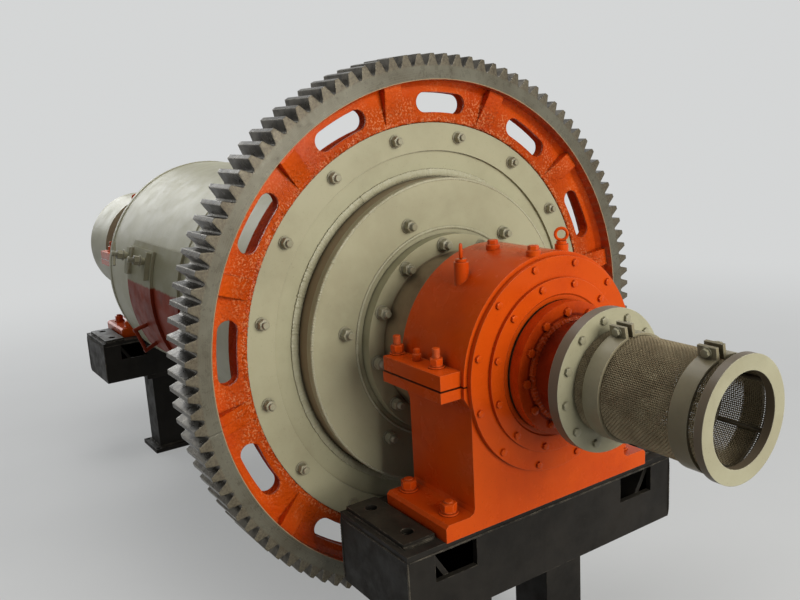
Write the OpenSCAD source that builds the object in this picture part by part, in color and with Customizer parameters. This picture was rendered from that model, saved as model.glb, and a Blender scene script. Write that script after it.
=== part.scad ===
/* [Layout] */
// Height of the mill's axis over the floor
axis_h = 980; // [940:5:1100]
// Distance from the gear's front face to the middle of the discharge bearing
bearing_x = 315; // [300:1:380]
// Distance between the middles of the two bearings
bearing_span = 2620; // [2500:10:2800]

/* [Girth gear] */
// Module of the gear teeth
gear_module = 14; // [13:0.5:15]
// Number of gear teeth, an even number
gear_teeth = 110; // [108:2:114]
// Width of the gear along the axis
gear_face = 130; // [126:1:160]
// Pressure angle of the teeth
tooth_angle = 20; // [14:0.5:25]
// Thickness of the toothed rim under the tooth roots
rim_t = 38.5; // [25:0.5:50]
// Thickness of the cast web
web_t = 34; // [20:1:40]
// Setback of the web behind the gear's front face
web_set = 50; // [44:1:52]
// Thickness of the ring that joins the web to the mounting flange
gear_ring_t = 16; // [10:1:18]
// Thickness of the gear's mounting flange
gear_flange_t = 25; // [15:1:40]
// Number of slots in the web, an even number
slot_count = 12; // [8:2:12]
// Radial width of a slot
slot_w = 56; // [40:1:60]
// Radial gap between the gear's ring and a slot
slot_gap = 9.5; // [6:0.5:14]
// Angle between the centres of a slot's two round ends
slot_sweep = 10; // [6:0.2:12]
// Thickness of a rib behind the web
rib_t = 18; // [10:1:30]
// Width of a sloped rib on the web's front
front_rib_w = 55; // [40:1:64]
// Rise of a front rib over the web at the rim
front_rib_h = 28; // [10:1:40]
// Width of the chamfer where the web meets the rim
rim_fillet = 14; // [6:1:16]
// Thickness of each split flange where the gear's halves meet
split_t = 26; // [15:1:40]
// Angle of the gear's split over the horizontal
split_angle = 9.9; // [0:0.1:30]

/* [Shell] */
// Outer radius of the shell
shell_r = 464; // [455:1:475]
// Thickness of the shell plate
shell_t = 14; // [8:1:20]
// Length of the shell
shell_len = 1706; // [1600:2:1740]
// Radial height of the shell's bolting flange
flange_rise = 135; // [120:1:150]
// Thickness of the shell's bolting flange
flange_t = 26; // [16:1:40]
// Thickness of the feed end plate
feed_end_t = 30; // [20:1:40]

/* [Discharge end] */
// Setback of the bolted flange ring behind the gear's front face
end_ring_set = 53; // [50:1:60]
// Thickness of the bolted flange ring
end_ring_t = 26; // [18:1:36]
// Radial width of the bolted flange ring
end_ring_w = 78; // [60:1:100]
// Thickness of the cover plate inside the flange ring
cover_plate_t = 17; // [10:1:24]
// Radial step from the shell's outside in to the raised drum
drum_inset = 19; // [16:1:34]
// Thickness of the drum's wall
drum_t = 14; // [8:1:24]
// Length of the drum's wall
drum_len = 63; // [50:1:80]
// Thickness of the disc on the drum
disc_t = 25; // [16:1:32]

/* [Trunnions] */
// Radius of the trunnion's bolting flange
trunnion_flange_r = 290; // [270:1:300]
// Thickness of the trunnion's bolting flange
trunnion_flange_t = 36; // [24:1:44]
// Radius of the collar behind the bearing
collar_r = 238; // [225:1:245]
// Radius of the journal
journal_r = 200; // [180:1:210]
// Radius of the bore through the trunnion
trunnion_bore_r = 118; // [90:1:125]
// Radius of the nose that passes the bearing cover
nose_r = 160; // [150:1:165]
// Radial running clearance of the journal in its bearing
journal_fit = 0.08; // [0.05:0.01:0.1]

/* [Bearings] */
// Length of the bearing housing
housing_len = 254; // [220:2:260]
// Radius of the housing's cap
cap_r = 281; // [270:1:290]
// Half width over the split flanges
split_half_w = 341; // [325:1:345]
// Height of the cap's split flange
cap_flange_h = 38; // [24:1:44]
// Height of the pedestal's split flange
split_flange_h = 28; // [20:1:40]
// Half width of the pedestal's waist
waist_half_w = 262; // [240:1:268]
// Half width of the pedestal's foot
foot_half_w = 350; // [330:1:360]
// Height of the foot's flange
foot_h = 44; // [30:1:60]
// Size of the fillet between the waist and the foot
foot_fillet = 16; // [6:1:24]
// Height of the journal's axis over the foot's underside
centre_h = 370; // [340:1:400]
// Radius of the bearing covers
cover_r = 271; // [262:1:278]
// Thickness of the bearing covers
cover_t = 14; // [10:1:18]
// Radius of the raised seal ring on the cover
seal_r = 219; // [205:1:230]
// Thickness of the raised seal ring
seal_t = 10; // [6:1:14]
// Radius of the upright pad under a lifting eye
boss_r = 18.5; // [15:0.5:24]
// Height of the pads' tops over the mill's axis
boss_top = 266; // [256:1:276]
// Distance from the middle plane to a lifting eye
eye_y = 170; // [150:1:180]
// Inner radius of the lifting eye
eye_r = 11.5; // [9:0.5:16]
// Thickness of the lifting eye's bar
eye_bar = 8.5; // [7:0.5:12]

/* [Base and legs] */
// Half width of the base girder across the mill
base_half_w = 460; // [450:1:500]
// Depth of the base girder along the mill
base_d = 306; // [290:1:330]
// Height of the base girder
base_h = 197; // [160:1:220]
// Wall of the base girder
base_wall = 16; // [8:1:24]
// Setback of the girder's middle behind the bearing's middle
base_set = 32; // [20:1:40]
// Width of a window in the girder's face
window_w = 126; // [80:1:140]
// Height of a window in the girder's face
window_h = 76; // [50:1:90]
// Distance from the middle plane to the middle of a window
window_y = 319; // [300:1:330]
// Length of an anchor pad along the mill
pad_len = 262; // [230:1:270]
// Width of an anchor pad
pad_w = 90; // [70:1:92]
// Thickness of an anchor pad
pad_t = 13; // [8:1:20]
// Thickness of the packing plate under an anchor pad
packing_t = 5; // [3:0.5:7]
// Radius of a hole in an anchor pad
pad_hole_r = 16; // [10:1:20]
// Distance between the two holes of an anchor pad
pad_hole_gap = 163; // [120:1:180]
// Width of a leg
leg_w = 136; // [100:1:150]
// Distance from the middle plane to the middle of a leg
leg_y = 171; // [150:1:250]
// Thickness of the plates at a leg's ends
leg_plate_t = 20; // [12:1:30]
// Projection of a leg's plates past the post
leg_lip = 32; // [25:1:40]
// Radius of a floor bolt hole
floor_hole_r = 11; // [8:0.5:12]

/* [Trommel] */
// Outer radius of the discharge neck's tube
neck_r = 120; // [116:1:130]
// Bore of the discharge neck
neck_bore_r = 107; // [100:1:110]
// Outer radius of the feed neck's tube
feed_neck_r = 132; // [126:1:140]
// Radius of the neck's hub flange
hub_r = 166; // [160:1:170]
// Thickness of the neck's hub flange
hub_t = 30; // [20:1:36]
// Length of the neck's tube
neck_len = 97; // [80:1:140]
// Radius of the trommel's flange
trommel_flange_r = 171; // [160:1:185]
// Thickness of the trommel's flange
trommel_flange_t = 29; // [20:1:36]
// Thickness of the plate behind the trommel's flange
back_plate_t = 6; // [4:1:10]
// Outer radius of the screen
screen_r = 121; // [112:1:124]
// Thickness of the screen
screen_t = 4; // [2:0.5:6]
// Length of the screen
screen_len = 326; // [300:1:400]
// Radius of the trommel's end ring
end_r = 135; // [130:1:150]
// Inner radius of the trommel's end ring
end_hole_r = 101; // [95:1:104]
// Thickness of the trommel's end ring
end_t = 19; // [12:1:26]
// Number of bars inside the screen
bar_count = 6; // [3:1:8]
// Radius of a round bar inside the screen
bar_r = 4.5; // [3:0.5:5]
// Width of the hoop inside the bars
hoop_w = 16; // [8:1:24]
// Thickness of the hoop inside the bars
hoop_t = 7; // [4:0.5:8]
// Distance from the screen's start to the hoop
hoop_place = 202; // [100:1:240]
// Thickness of the clamp bands
band_t = 6; // [4:0.5:10]
// Width of a clamp band
band_w = 44; // [30:1:50]
// Distance from the screen's start to the first clamp band
band_start = 32; // [20:1:60]
// Distance from the second clamp band to the screen's end
band_end = 22; // [10:1:60]
// Height of a clamp band's lugs over the band
lug_h = 24; // [16:1:34]
// Thickness of a clamp band's lug
lug_t = 8; // [5:0.5:12]
// Gap between the two lugs of a clamp band
lug_gap = 14; // [8:1:20]
// Angle of the lugs from the top towards the manhole's side
lug_angle = 10; // [0:1:20]

/* [Feed drum] */
// Radius of the feed drum
feed_r = 278; // [260:1:300]
// Length of the feed drum
feed_len = 296; // [240:1:340]
// Thickness of the feed drum's plates
feed_t = 10; // [6:1:16]
// Length of the neck between the hub flange and the feed drum
feed_neck_len = 69; // [60:1:90]
// Radius of the inlet in the feed drum's end
inlet_r = 118; // [90:1:140]
// Length of the inlet's collar
inlet_len = 30; // [20:1:60]

/* [Manhole] */
// Distance from the gear's front face to the near edge of the manhole's frame
manhole_x = 925; // [900:5:1000]
// Length of the manhole's frame along the shell
frame_len = 550; // [500:5:600]
// Half angle that the manhole's frame covers
frame_angle = 28; // [27:0.5:32]
// Thickness of the manhole's frame
frame_t = 12; // [8:1:16]
// Length of the manhole's cover along the shell
cover_len = 280; // [240:5:300]
// Half angle that the manhole's cover covers
cover_angle = 25; // [22:0.5:26]
// Angle of the manhole's middle below the horizontal
manhole_angle = 4; // [0:0.5:8]
// Thickness of the manhole's cover
lid_t = 12; // [8:1:16]
// Width of a clamp bar
clamp_w = 34; // [24:1:44]
// Thickness of a clamp bar
clamp_t = 18; // [12:1:24]
// Radius of the handle's round bar
handle_bar_r = 8; // [6:0.5:10]
// Height of the handle over the cover
handle_h = 58; // [40:1:70]

/* [Hidden] */
$fn = 96;

// Small gap between two curved faces that fit together
fit = 0.2;
// Least gap between a moving and a fixed piece
clear = 5;
// Reach past a face where a cut goes right through
over = 5;
// Overlap that joins two shapes of one casting
join = 1;

// Gear radii
pitch_r = gear_module * gear_teeth / 2;
tip_r = pitch_r + gear_module;
root_r = pitch_r - 1.25 * gear_module;
rim_r = root_r - rim_t;
drum_r = shell_r - drum_inset;
flange_r = shell_r + flange_rise;
gear_ring_in = flange_r + 3;
gear_ring_out = gear_ring_in + gear_ring_t;
slot_r = gear_ring_out + slot_gap + slot_w / 2;
tooth_step = 360 / gear_teeth;

// Places along the axis, from the gear's front face, positive towards the discharge
end_ring_back = -end_ring_set - end_ring_t;
shell_front = end_ring_back;
shell_back = shell_front - shell_len;
gear_flange_front = end_ring_back - flange_t;
drum_front = end_ring_back + drum_len;
disc_front = drum_front + disc_t;
feed_end_back = shell_back - feed_end_t;
rear_bearing_x = bearing_x - bearing_span;

// Places along a bearing, from its middle, positive away from the shell
half_housing = housing_len / 2;
shoulder_u = half_housing - clear;
collar_end_u = -half_housing - cover_t - clear;
collar_bevel = 6;
hub_u = half_housing + cover_t + seal_t + clear;
neck_u = hub_u + hub_t;
back_plate_u = neck_u + neck_len;
trommel_flange_u = back_plate_u + back_plate_t;
screen_u = trommel_flange_u + trommel_flange_t;
screen_end_u = screen_u + screen_len;
feed_drum_u = neck_u + feed_neck_len;

// Ends of the whole machine, from the gear's front face, and its middle
front_end = bearing_x + screen_end_u + end_t;
rear_end = rear_bearing_x - feed_drum_u - feed_len - inlet_len;
middle_x = (front_end + rear_end) / 2;

// Heights over the floor and below the axis
base_top = axis_h - centre_h;
base_bottom = base_top - base_h;

housing_bore_r = journal_r + journal_fit;

// Middle of the anchor pads along a bearing, and their distance from the middle plane
pad_u = -45;
pad_gap = 6;
pad_y = foot_half_w + pad_gap + pad_w / 2;
base_in = base_d / 2 - base_wall;

// Places the mill's axis frame, with X from the gear's front face, in the machine's frame
module on_axis() {
    translate([-middle_x, 0, axis_h]) children();
}

// Places a piece at a bearing: u runs away from the shell
module at_bearing(rear) {
    on_axis() translate([rear ? rear_bearing_x : bearing_x, 0, 0]) mirror([rear ? 1 : 0, 0, 0]) children();
}

// Turns [radius, place along the axis] points about the mill's axis
module turned(points) {
    rotate([0, 90, 0]) rotate_extrude($fn = 128) polygon(points);
}

// Ring from x0 to x1
module ring(r_out, r_in, x0, x1) {
    turned([[r_in, x0], [r_out, x0], [r_out, x1], [r_in, x1]]);
}

// Plain cylinder on the axis from x0 to x1
module rod(r, x0, x1) {
    translate([x0, 0, 0]) rotate([0, 90, 0]) cylinder(r = r, h = x1 - x0);
}

// Box from a low corner to a high corner
module block(low, high) {
    translate(low) cube(high - low);
}

// Extrudes an outline of [y, z] points from x0 to x1
module slab(points, x0, x1) {
    translate([x0, 0, 0]) rotate([90, 0, 90]) linear_extrude(x1 - x0) polygon(points);
}

// Wedge about the axis between two angles less than half a turn apart
module wedge(r, a0, a1, x0, x1) {
    mid = (a0 + a1) / 2;
    far = r * 1.5;
    slab([[0, 0], [far * cos(a0), far * sin(a0)], [2 * far * cos(mid), 2 * far * sin(mid)],
          [far * cos(a1), far * sin(a1)]], x0, x1);
}

// Curved plate on a cylinder about the axis, between two angles
module curved_plate(r_in, r_out, a0, a1, x0, x1) {
    intersection() {
        ring(r_out, r_in, x0, x1);
        wedge(r_out, a0, a1, x0 - over, x1 + over);
    }
}

// Point of the gear outline at a radius and an angle
function polar(r, a) = [r * cos(a), r * sin(a)];

// Half thickness of a tooth, as an angle, at a radius
function tooth_half(r) = (gear_module * PI / 4 - (r - pitch_r) * tan(tooth_angle)) / r * 180 / PI;

// Outline of one tooth centred on an angle
function tooth(a) = [
    polar(root_r, a - tooth_half(root_r) * 1.1),
    polar(root_r + gear_module * 0.3, a - tooth_half(root_r + gear_module * 0.3)),
    polar(pitch_r, a - tooth_half(pitch_r) * 1.02),
    polar(tip_r, a - tooth_half(tip_r)),
    polar(tip_r, a + tooth_half(tip_r)),
    polar(pitch_r, a + tooth_half(pitch_r) * 1.02),
    polar(root_r + gear_module * 0.3, a + tooth_half(root_r + gear_module * 0.3)),
    polar(root_r, a + tooth_half(root_r) * 1.1)
];

// Outline of half the toothed wheel, from its split to its split
half_outline = concat(
    [[root_r, 0]],
    [for (k = [0 : gear_teeth / 2 - 1]) each tooth((k + 0.5) * tooth_step)],
    [[-root_r, 0]]
);

// Slot with round ends about an angle, cut along the axis
module web_slot(a) {
    rotate([a, 0, 0]) {
        intersection() {
            ring(slot_r + slot_w / 2, slot_r - slot_w / 2, -gear_face, over);
            wedge(slot_r + slot_w, -slot_sweep / 2, slot_sweep / 2, -gear_face, over);
        }
        for (s = [-1, 1]) {
            rotate([s * slot_sweep / 2, 0, 0]) translate([0, slot_r, 0]) rod(slot_w / 2, -gear_face, over);
        }
    }
}

web_back = -web_set - web_t;

// Setback of the ribs and split flanges from the gear's back face
rib_set = 8;

// Plain rib behind the web from the ring to the rim, between two heights over its radial line
module back_rib(low, high) {
    block([-gear_face + rib_set, gear_ring_out - join, low], [web_back + join, rim_r + join, high]);
}

// Rib on the web's front that rises from the web's inner edge to the rim
module front_rib() {
    translate([0, 0, -front_rib_w / 2]) linear_extrude(front_rib_w) polygon([
        [-web_set - join, gear_ring_in + 6], [-web_set, gear_ring_in + 6],
        [-web_set + front_rib_h, rim_r - rim_fillet], [-web_set + front_rib_h, rim_r + join],
        [-web_set - join, rim_r + join]
    ]);
}

// One half of the girth gear: toothed rim, slotted web, ring, mounting flange, ribs and split flanges
module gear_half() {
    difference() {
        slab(half_outline, -gear_face, 0);
        rod(rim_r, -gear_face - over, over);
    }
    intersection() {
        union() {
            difference() {
                ring(rim_r + join, gear_ring_in, web_back, -web_set);
                for (k = [0 : slot_count / 2 - 1]) {
                    web_slot((k + 0.5) * 360 / slot_count);
                }
            }
            turned([
                [rim_r + join, -web_set - join], [rim_r + join, -web_set + rim_fillet],
                [rim_r, -web_set + rim_fillet], [rim_r - rim_fillet, -web_set],
                [rim_r - rim_fillet, -web_set - join]
            ]);
            ring(gear_ring_out, gear_ring_in, -gear_face, web_back + join);
            ring(gear_ring_in + join, shell_r + clear, gear_flange_front - gear_flange_t, gear_flange_front);
            for (k = [1 : slot_count / 2 - 1]) {
                rotate([k * 360 / slot_count, 0, 0]) back_rib(-rib_t / 2, rib_t / 2);
            }
            for (k = [0 : slot_count / 2]) {
                rotate([k * 360 / slot_count, 0, 0]) front_rib();
            }
            back_rib(0, split_t);
            rotate([180, 0, 0]) back_rib(-split_t, 0);
        }
        block([-gear_face - over, -tip_r, 0], [over, tip_r, tip_r]);
    }
}

module gear_half_upper() {
    color("orangered") on_axis() rotate([split_angle, 0, 0]) gear_half();
}

module gear_half_lower() {
    color("orangered") on_axis() rotate([split_angle + 180, 0, 0]) gear_half();
}

// Edges of the manhole's parts along the axis
frame_x1 = -manhole_x;
frame_x0 = frame_x1 - frame_len;
cover_edge = 10;
cover_x0 = frame_x0 + cover_edge;
cover_x1 = cover_x0 + cover_len;

// Middle of the manhole about the axis, and how far its opening stays inside the cover's edges
manhole_mid = 180 + manhole_angle;
opening_edge = 26;
opening_angle = cover_angle - 3;

// Opening of the manhole, cut through the shell and the frame
module manhole_opening() {
    wedge(frame_out_r, manhole_mid - opening_angle, manhole_mid + opening_angle,
          cover_x0 + opening_edge, cover_x1 - opening_edge);
}

module shell() {
    color("lightgray") on_axis() difference() {
        ring(shell_r, shell_r - shell_t, shell_back, shell_front);
        manhole_opening();
    }
}

module shell_flange() {
    color("lightgray") on_axis() ring(flange_r, shell_r + fit, gear_flange_front, shell_front);
}

module end_flange_ring() {
    color("lightgray") on_axis() ring(flange_r, flange_r - end_ring_w, end_ring_back, -end_ring_set);
}

module end_cover_plate() {
    color("lightgray") on_axis()
        ring(flange_r - end_ring_w - fit, drum_r + fit, end_ring_back, end_ring_back + cover_plate_t);
}

module end_drum() {
    color("lightgray") on_axis() ring(drum_r, drum_r - drum_t, end_ring_back, drum_front);
}

module end_disc() {
    color("lightgray") on_axis() ring(drum_r, trunnion_bore_r, drum_front, disc_front);
}

// Hollow trunnion from its flange to its nose: x0 is the flange's seat, in bearing places
module trunnion(seat_u) {
    flange_u = seat_u + trunnion_flange_t;
    turned([
        [trunnion_bore_r, seat_u], [trunnion_flange_r, seat_u], [trunnion_flange_r, flange_u],
        [collar_r, flange_u], [collar_r, collar_end_u - collar_bevel],
        [collar_r - collar_bevel, collar_end_u], [journal_r, collar_end_u], [journal_r, shoulder_u],
        [nose_r, shoulder_u], [nose_r, hub_u], [trunnion_bore_r, hub_u]
    ]);
}

module trunnion_front() {
    color("gray") at_bearing(false) trunnion(disc_front - bearing_x);
}

module trunnion_rear() {
    color("gray") at_bearing(true) trunnion(rear_bearing_x - feed_end_back);
}

module feed_end_plate() {
    color("lightgray") on_axis() ring(shell_r, trunnion_bore_r, feed_end_back, shell_back);
}

// Neck with a hub flange against the trunnion's nose
module neck(tube_r, bore_r, length) {
    turned([
        [bore_r, hub_u], [hub_r, hub_u], [hub_r, neck_u], [tube_r, neck_u],
        [tube_r, neck_u + length], [bore_r, neck_u + length]
    ]);
}

module discharge_neck() {
    color("gray") at_bearing(false) neck(neck_r, neck_bore_r, neck_len);
}

module feed_neck() {
    color("gray") at_bearing(true) neck(feed_neck_r, trunnion_bore_r, feed_neck_len);
}

// Step from the trommel flange's edge in to the edge of the plate behind it
back_plate_step = 8;

module trommel_back_plate() {
    color("dimgray") at_bearing(false)
        ring(trommel_flange_r - back_plate_step, neck_bore_r, back_plate_u, trommel_flange_u);
}

module trommel_flange() {
    color("beige") at_bearing(false) ring(trommel_flange_r, screen_r - screen_t, trommel_flange_u, screen_u);
}

module trommel_screen() {
    color("tan") at_bearing(false) ring(screen_r, screen_r - screen_t, screen_u, screen_end_u);
}

bar_place_r = screen_r - screen_t - fit - bar_r;

module trommel_bars() {
    color("gray") at_bearing(false) for (k = [0 : bar_count - 1]) {
        rotate([(k + 0.5) * 360 / bar_count, 0, 0]) translate([0, bar_place_r, 0])
            rod(bar_r, screen_u, screen_end_u, $fn = 32);
    }
}

module trommel_hoop() {
    hoop_r = bar_place_r - bar_r - fit;
    hoop_u = screen_u + hoop_place;
    color("gray") at_bearing(false) ring(hoop_r, hoop_r - hoop_t, hoop_u, hoop_u + hoop_w);
}

// Clamp band round the screen with two lugs near its top
module band(u) {
    in = screen_r + fit;
    lug_top = in + band_t + lug_h;
    half_gap = lug_gap / 2;
    rotate([lug_angle, 0, 0]) difference() {
        union() {
            ring(in + band_t, in, u, u + band_w);
            for (s = [0, 1]) mirror([0, s, 0]) {
                block([u, half_gap, in], [u + band_w, half_gap + lug_t, lug_top]);
            }
        }
        block([u - over, -half_gap, 0], [u + band_w + over, half_gap, lug_top + over]);
        rod(in, u - over, u + band_w + over);
    }
}

module trommel_band_inner() {
    color("beige") at_bearing(false) band(screen_u + band_start);
}

module trommel_band_outer() {
    color("beige") at_bearing(false) band(screen_end_u - band_end - band_w);
}

module trommel_end_ring() {
    color("beige") at_bearing(false) ring(end_r, end_hole_r, screen_end_u, screen_end_u + end_t);
}

// Feed drum: a plate on the neck's end and a round wall
module feed_drum() {
    color("lightgray") at_bearing(true) turned([
        [trunnion_bore_r, feed_drum_u], [feed_r, feed_drum_u], [feed_r, feed_drum_u + feed_len - feed_t],
        [feed_r - feed_t, feed_drum_u + feed_len - feed_t], [feed_r - feed_t, feed_drum_u + feed_t],
        [trunnion_bore_r, feed_drum_u + feed_t]
    ]);
}

// Feed drum's end plate with the inlet's collar
module feed_inlet() {
    plate_u = feed_drum_u + feed_len - feed_t;
    color("lightgray") at_bearing(true) turned([
        [inlet_r, plate_u], [feed_r, plate_u], [feed_r, plate_u + feed_t],
        [inlet_r + feed_t, plate_u + feed_t], [inlet_r + feed_t, plate_u + feed_t + inlet_len],
        [inlet_r, plate_u + feed_t + inlet_len]
    ]);
}

// Setbacks of the split flanges from the housing's faces, and of the cap's flange from the pedestal's
flange_back_set = 3;
flange_front_set = 10;
cap_flange_set = 2;

// Height where the pedestal's waist begins, and the bevel on its foot
waist_drop = 60;
foot_bevel = 8;

// Lower half of the housing on its foot
module pedestal() {
    foot_top = -centre_h + foot_h;
    fillet_y = waist_half_w + foot_fillet;
    difference() {
        union() {
            slab([[-fillet_y, foot_top - join], [fillet_y, foot_top - join], [fillet_y, foot_top],
                  [waist_half_w + foot_fillet * 0.3, foot_top + foot_fillet * 0.3],
                  [waist_half_w, foot_top + foot_fillet], [waist_half_w, -waist_drop],
                  [cap_r, -split_flange_h], [cap_r, 0], [-cap_r, 0], [-cap_r, -split_flange_h],
                  [-waist_half_w, -waist_drop], [-waist_half_w, foot_top + foot_fillet],
                  [-waist_half_w - foot_fillet * 0.3, foot_top + foot_fillet * 0.3],
                  [-fillet_y, foot_top]], -half_housing, half_housing);
            block([-half_housing + flange_back_set, -split_half_w, -split_flange_h],
                  [half_housing - flange_front_set, split_half_w, 0]);
            slab([[-foot_half_w, -centre_h], [foot_half_w, -centre_h], [foot_half_w, foot_top - foot_bevel],
                  [foot_half_w - foot_bevel, foot_top], [-foot_half_w + foot_bevel, foot_top],
                  [-foot_half_w, foot_top - foot_bevel]], -half_housing, half_housing);
        }
        rod(housing_bore_r, -half_housing - over, half_housing + over);
    }
}

module pedestal_front() {
    color("orangered") at_bearing(false) pedestal();
}

module pedestal_rear() {
    color("orangered") at_bearing(true) pedestal();
}

// Place of the lifting eyes along the housing, and each eye's side and turn about its own stem
eye_u = -7;
eyes = [[-1, 50], [1, -45]];

// Upper half of the housing
module housing_cap() {
    flange_y = split_half_w - cap_flange_set;
    difference() {
        union() {
            intersection() {
                rod(cap_r, -half_housing, half_housing);
                block([-half_housing, -cap_r, 0], [half_housing, cap_r, cap_r]);
            }
            block([-half_housing + flange_back_set + cap_flange_set, -flange_y, 0],
                  [half_housing - flange_front_set - cap_flange_set, flange_y, cap_flange_h]);
            for (e = eyes) {
                translate([eye_u, e[0] * eye_y, boss_top / 2]) cylinder(r = boss_r, h = boss_top / 2);
            }
        }
        rod(housing_bore_r, -half_housing - over, half_housing + over);
    }
}

module housing_cap_front() {
    color("orangered") at_bearing(false) housing_cap();
}

module housing_cap_rear() {
    color("orangered") at_bearing(true) housing_cap();
}

// Height of the collar under a lifting eye, and how deep the ring sinks into it
eye_collar_h = 8;
eye_sink = 2;

// Lifting eyes: a round bar bent to a ring on a collar
module lifting_eyes() {
    for (e = eyes) {
        translate([eye_u, e[0] * eye_y, boss_top]) {
            cylinder(r = eye_r + eye_bar / 4, h = eye_collar_h);
            translate([0, 0, eye_collar_h - eye_sink + eye_r + eye_bar]) rotate([0, 90, e[1]])
                rotate_extrude() translate([eye_r + eye_bar / 2, 0]) circle(r = eye_bar / 2, $fn = 32);
        }
    }
}

module lifting_eyes_front() {
    color("orangered") at_bearing(false) lifting_eyes();
}

module lifting_eyes_rear() {
    color("orangered") at_bearing(true) lifting_eyes();
}

module inner_cover_front() {
    color("orangered") at_bearing(false)
        ring(cover_r, journal_r + clear, -half_housing - cover_t, -half_housing);
}

module inner_cover_rear() {
    color("orangered") at_bearing(true)
        ring(cover_r, journal_r + clear, -half_housing - cover_t, -half_housing);
}

module outer_cover_front() {
    color("orangered") at_bearing(false) ring(cover_r, nose_r + clear, half_housing, half_housing + cover_t);
}

module outer_cover_rear() {
    color("orangered") at_bearing(true) ring(cover_r, nose_r + clear, half_housing, half_housing + cover_t);
}

// Depth and width of the step at the seal ring's mouth, which lies outside the hub flange's edge
mouth_depth = 3;
mouth_gap = 10;
mouth_slope = 4;

// Raised seal ring on the outer cover with a stepped mouth
module seal_ring() {
    u0 = half_housing + cover_t;
    u1 = u0 + seal_t;
    turned([
        [nose_r + clear, u0], [seal_r, u0], [seal_r, u1], [hub_r + mouth_gap + mouth_slope, u1],
        [hub_r + mouth_gap, u1 - mouth_depth], [nose_r + clear, u1 - mouth_depth]
    ]);
}

module seal_ring_front() {
    color("orangered") at_bearing(false) seal_ring();
}

module seal_ring_rear() {
    color("orangered") at_bearing(true) seal_ring();
}

// Holes for the anchor bolts, through the pads and the girder's top plate
module anchor_holes() {
    for (s = [-1, 1], u = [-1, 1]) {
        translate([pad_u + u * pad_hole_gap / 2, s * pad_y, -base_wall - over])
            cylinder(r = pad_hole_r, h = base_wall + pad_t + 2 * over);
    }
}

// Distances from a window's middle to the foot and the top of the sloped gusset behind it, and its width
gusset_foot = 52;
gusset_top = 72;
gusset_w = 16;

// Girder of plates under a pedestal: hollow, with two windows on each long side and gussets inside
module base() {
    in_y = base_half_w - base_wall;
    foot_y = window_y - gusset_foot;
    top_y = window_y + gusset_top;
    translate([-base_set, 0, -centre_h]) difference() {
        block([-base_d / 2, -base_half_w, -base_h], [base_d / 2, base_half_w, 0]);
        for (s = [0, 1]) mirror([0, s, 0]) {
            difference() {
                block([-base_in, base_wall / 2, -base_h + base_wall], [base_in, in_y, -base_wall]);
                slab([[foot_y, -base_h], [foot_y + gusset_w, -base_h], [top_y + gusset_w, 0], [top_y, 0]],
                     -base_in, base_in);
            }
            for (x = [-base_d, base_in]) {
                block([x, window_y - window_w / 2, -base_wall - window_h],
                      [x + base_d - base_in, window_y + window_w / 2, -base_wall]);
            }
        }
        translate([base_set, 0, 0]) anchor_holes();
    }
}

module base_front() {
    color("#222222") at_bearing(false) base();
}

module base_rear() {
    color("#222222") at_bearing(true) base();
}

// Step from a pad's end out to the end of the packing plate under it
packing_step = 4;

// Two plates on the girder's ends, each on a packing plate and with two anchor holes
module anchor_pads() {
    half_packing = pad_len / 2 + packing_step;
    translate([0, 0, -centre_h]) difference() {
        for (s = [-1, 1]) translate([pad_u, s * pad_y, 0]) {
            block([-pad_len / 2, -pad_w / 2, 0], [pad_len / 2, pad_w / 2, pad_t]);
            block([-half_packing, -pad_w / 2, 0], [half_packing, pad_w / 2, packing_t]);
        }
        anchor_holes();
    }
}

module anchor_pads_front() {
    color("#333333") at_bearing(false) anchor_pads();
}

module anchor_pads_rear() {
    color("#333333") at_bearing(true) anchor_pads();
}

// Two legs under a girder: posts with a plate at the top and a bolted plate on the floor
module legs() {
    leg_u = -base_set - base_d / 2 + leg_w / 2 + leg_lip;
    half = leg_w / 2;
    plate = half + leg_lip;
    hole = half + leg_lip / 2;
    for (s = [-1, 1]) translate([leg_u, s * leg_y, -axis_h]) difference() {
        union() {
            block([-plate, -plate, 0], [plate, plate, leg_plate_t]);
            block([-half, -half, leg_plate_t - join], [half, half, base_bottom - leg_plate_t + join]);
            block([-plate, -plate, base_bottom - leg_plate_t], [plate, plate, base_bottom]);
        }
        for (i = [-1, 1], j = [-1, 1]) {
            translate([i * hole, j * hole, -over]) cylinder(r = floor_hole_r, h = leg_plate_t + 2 * over);
        }
    }
}

module legs_front() {
    color("#222222") at_bearing(false) legs();
}

module legs_rear() {
    color("#222222") at_bearing(true) legs();
}

frame_in_r = shell_r + fit;
frame_out_r = frame_in_r + frame_t;
lid_in_r = frame_out_r + fit;
lid_out_r = lid_in_r + lid_t;

module manhole_frame() {
    color("firebrick") on_axis() difference() {
        curved_plate(frame_in_r, frame_out_r, manhole_mid - frame_angle, manhole_mid + frame_angle,
                     frame_x0, frame_x1);
        manhole_opening();
    }
}

module manhole_cover() {
    color("lightgray") on_axis()
        curved_plate(lid_in_r, lid_out_r, manhole_mid - cover_angle, manhole_mid + cover_angle,
                     cover_x0, cover_x1);
}

// Angles of the clamps and of the handle's two feet, from the manhole's middle
clamp_angle_low = -12;
clamp_angle_high = -24;
clamp_boss_angle = -20;
handle_angle_low = 11;
handle_angle_high = 21;

// Height and extra radius of a clamp's boss over its bar
clamp_boss_h = 14;
clamp_boss_rim = 3;

// Step from the radius of the handle's feet in to the radius of the bar between them
handle_step = 0.5;

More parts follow.
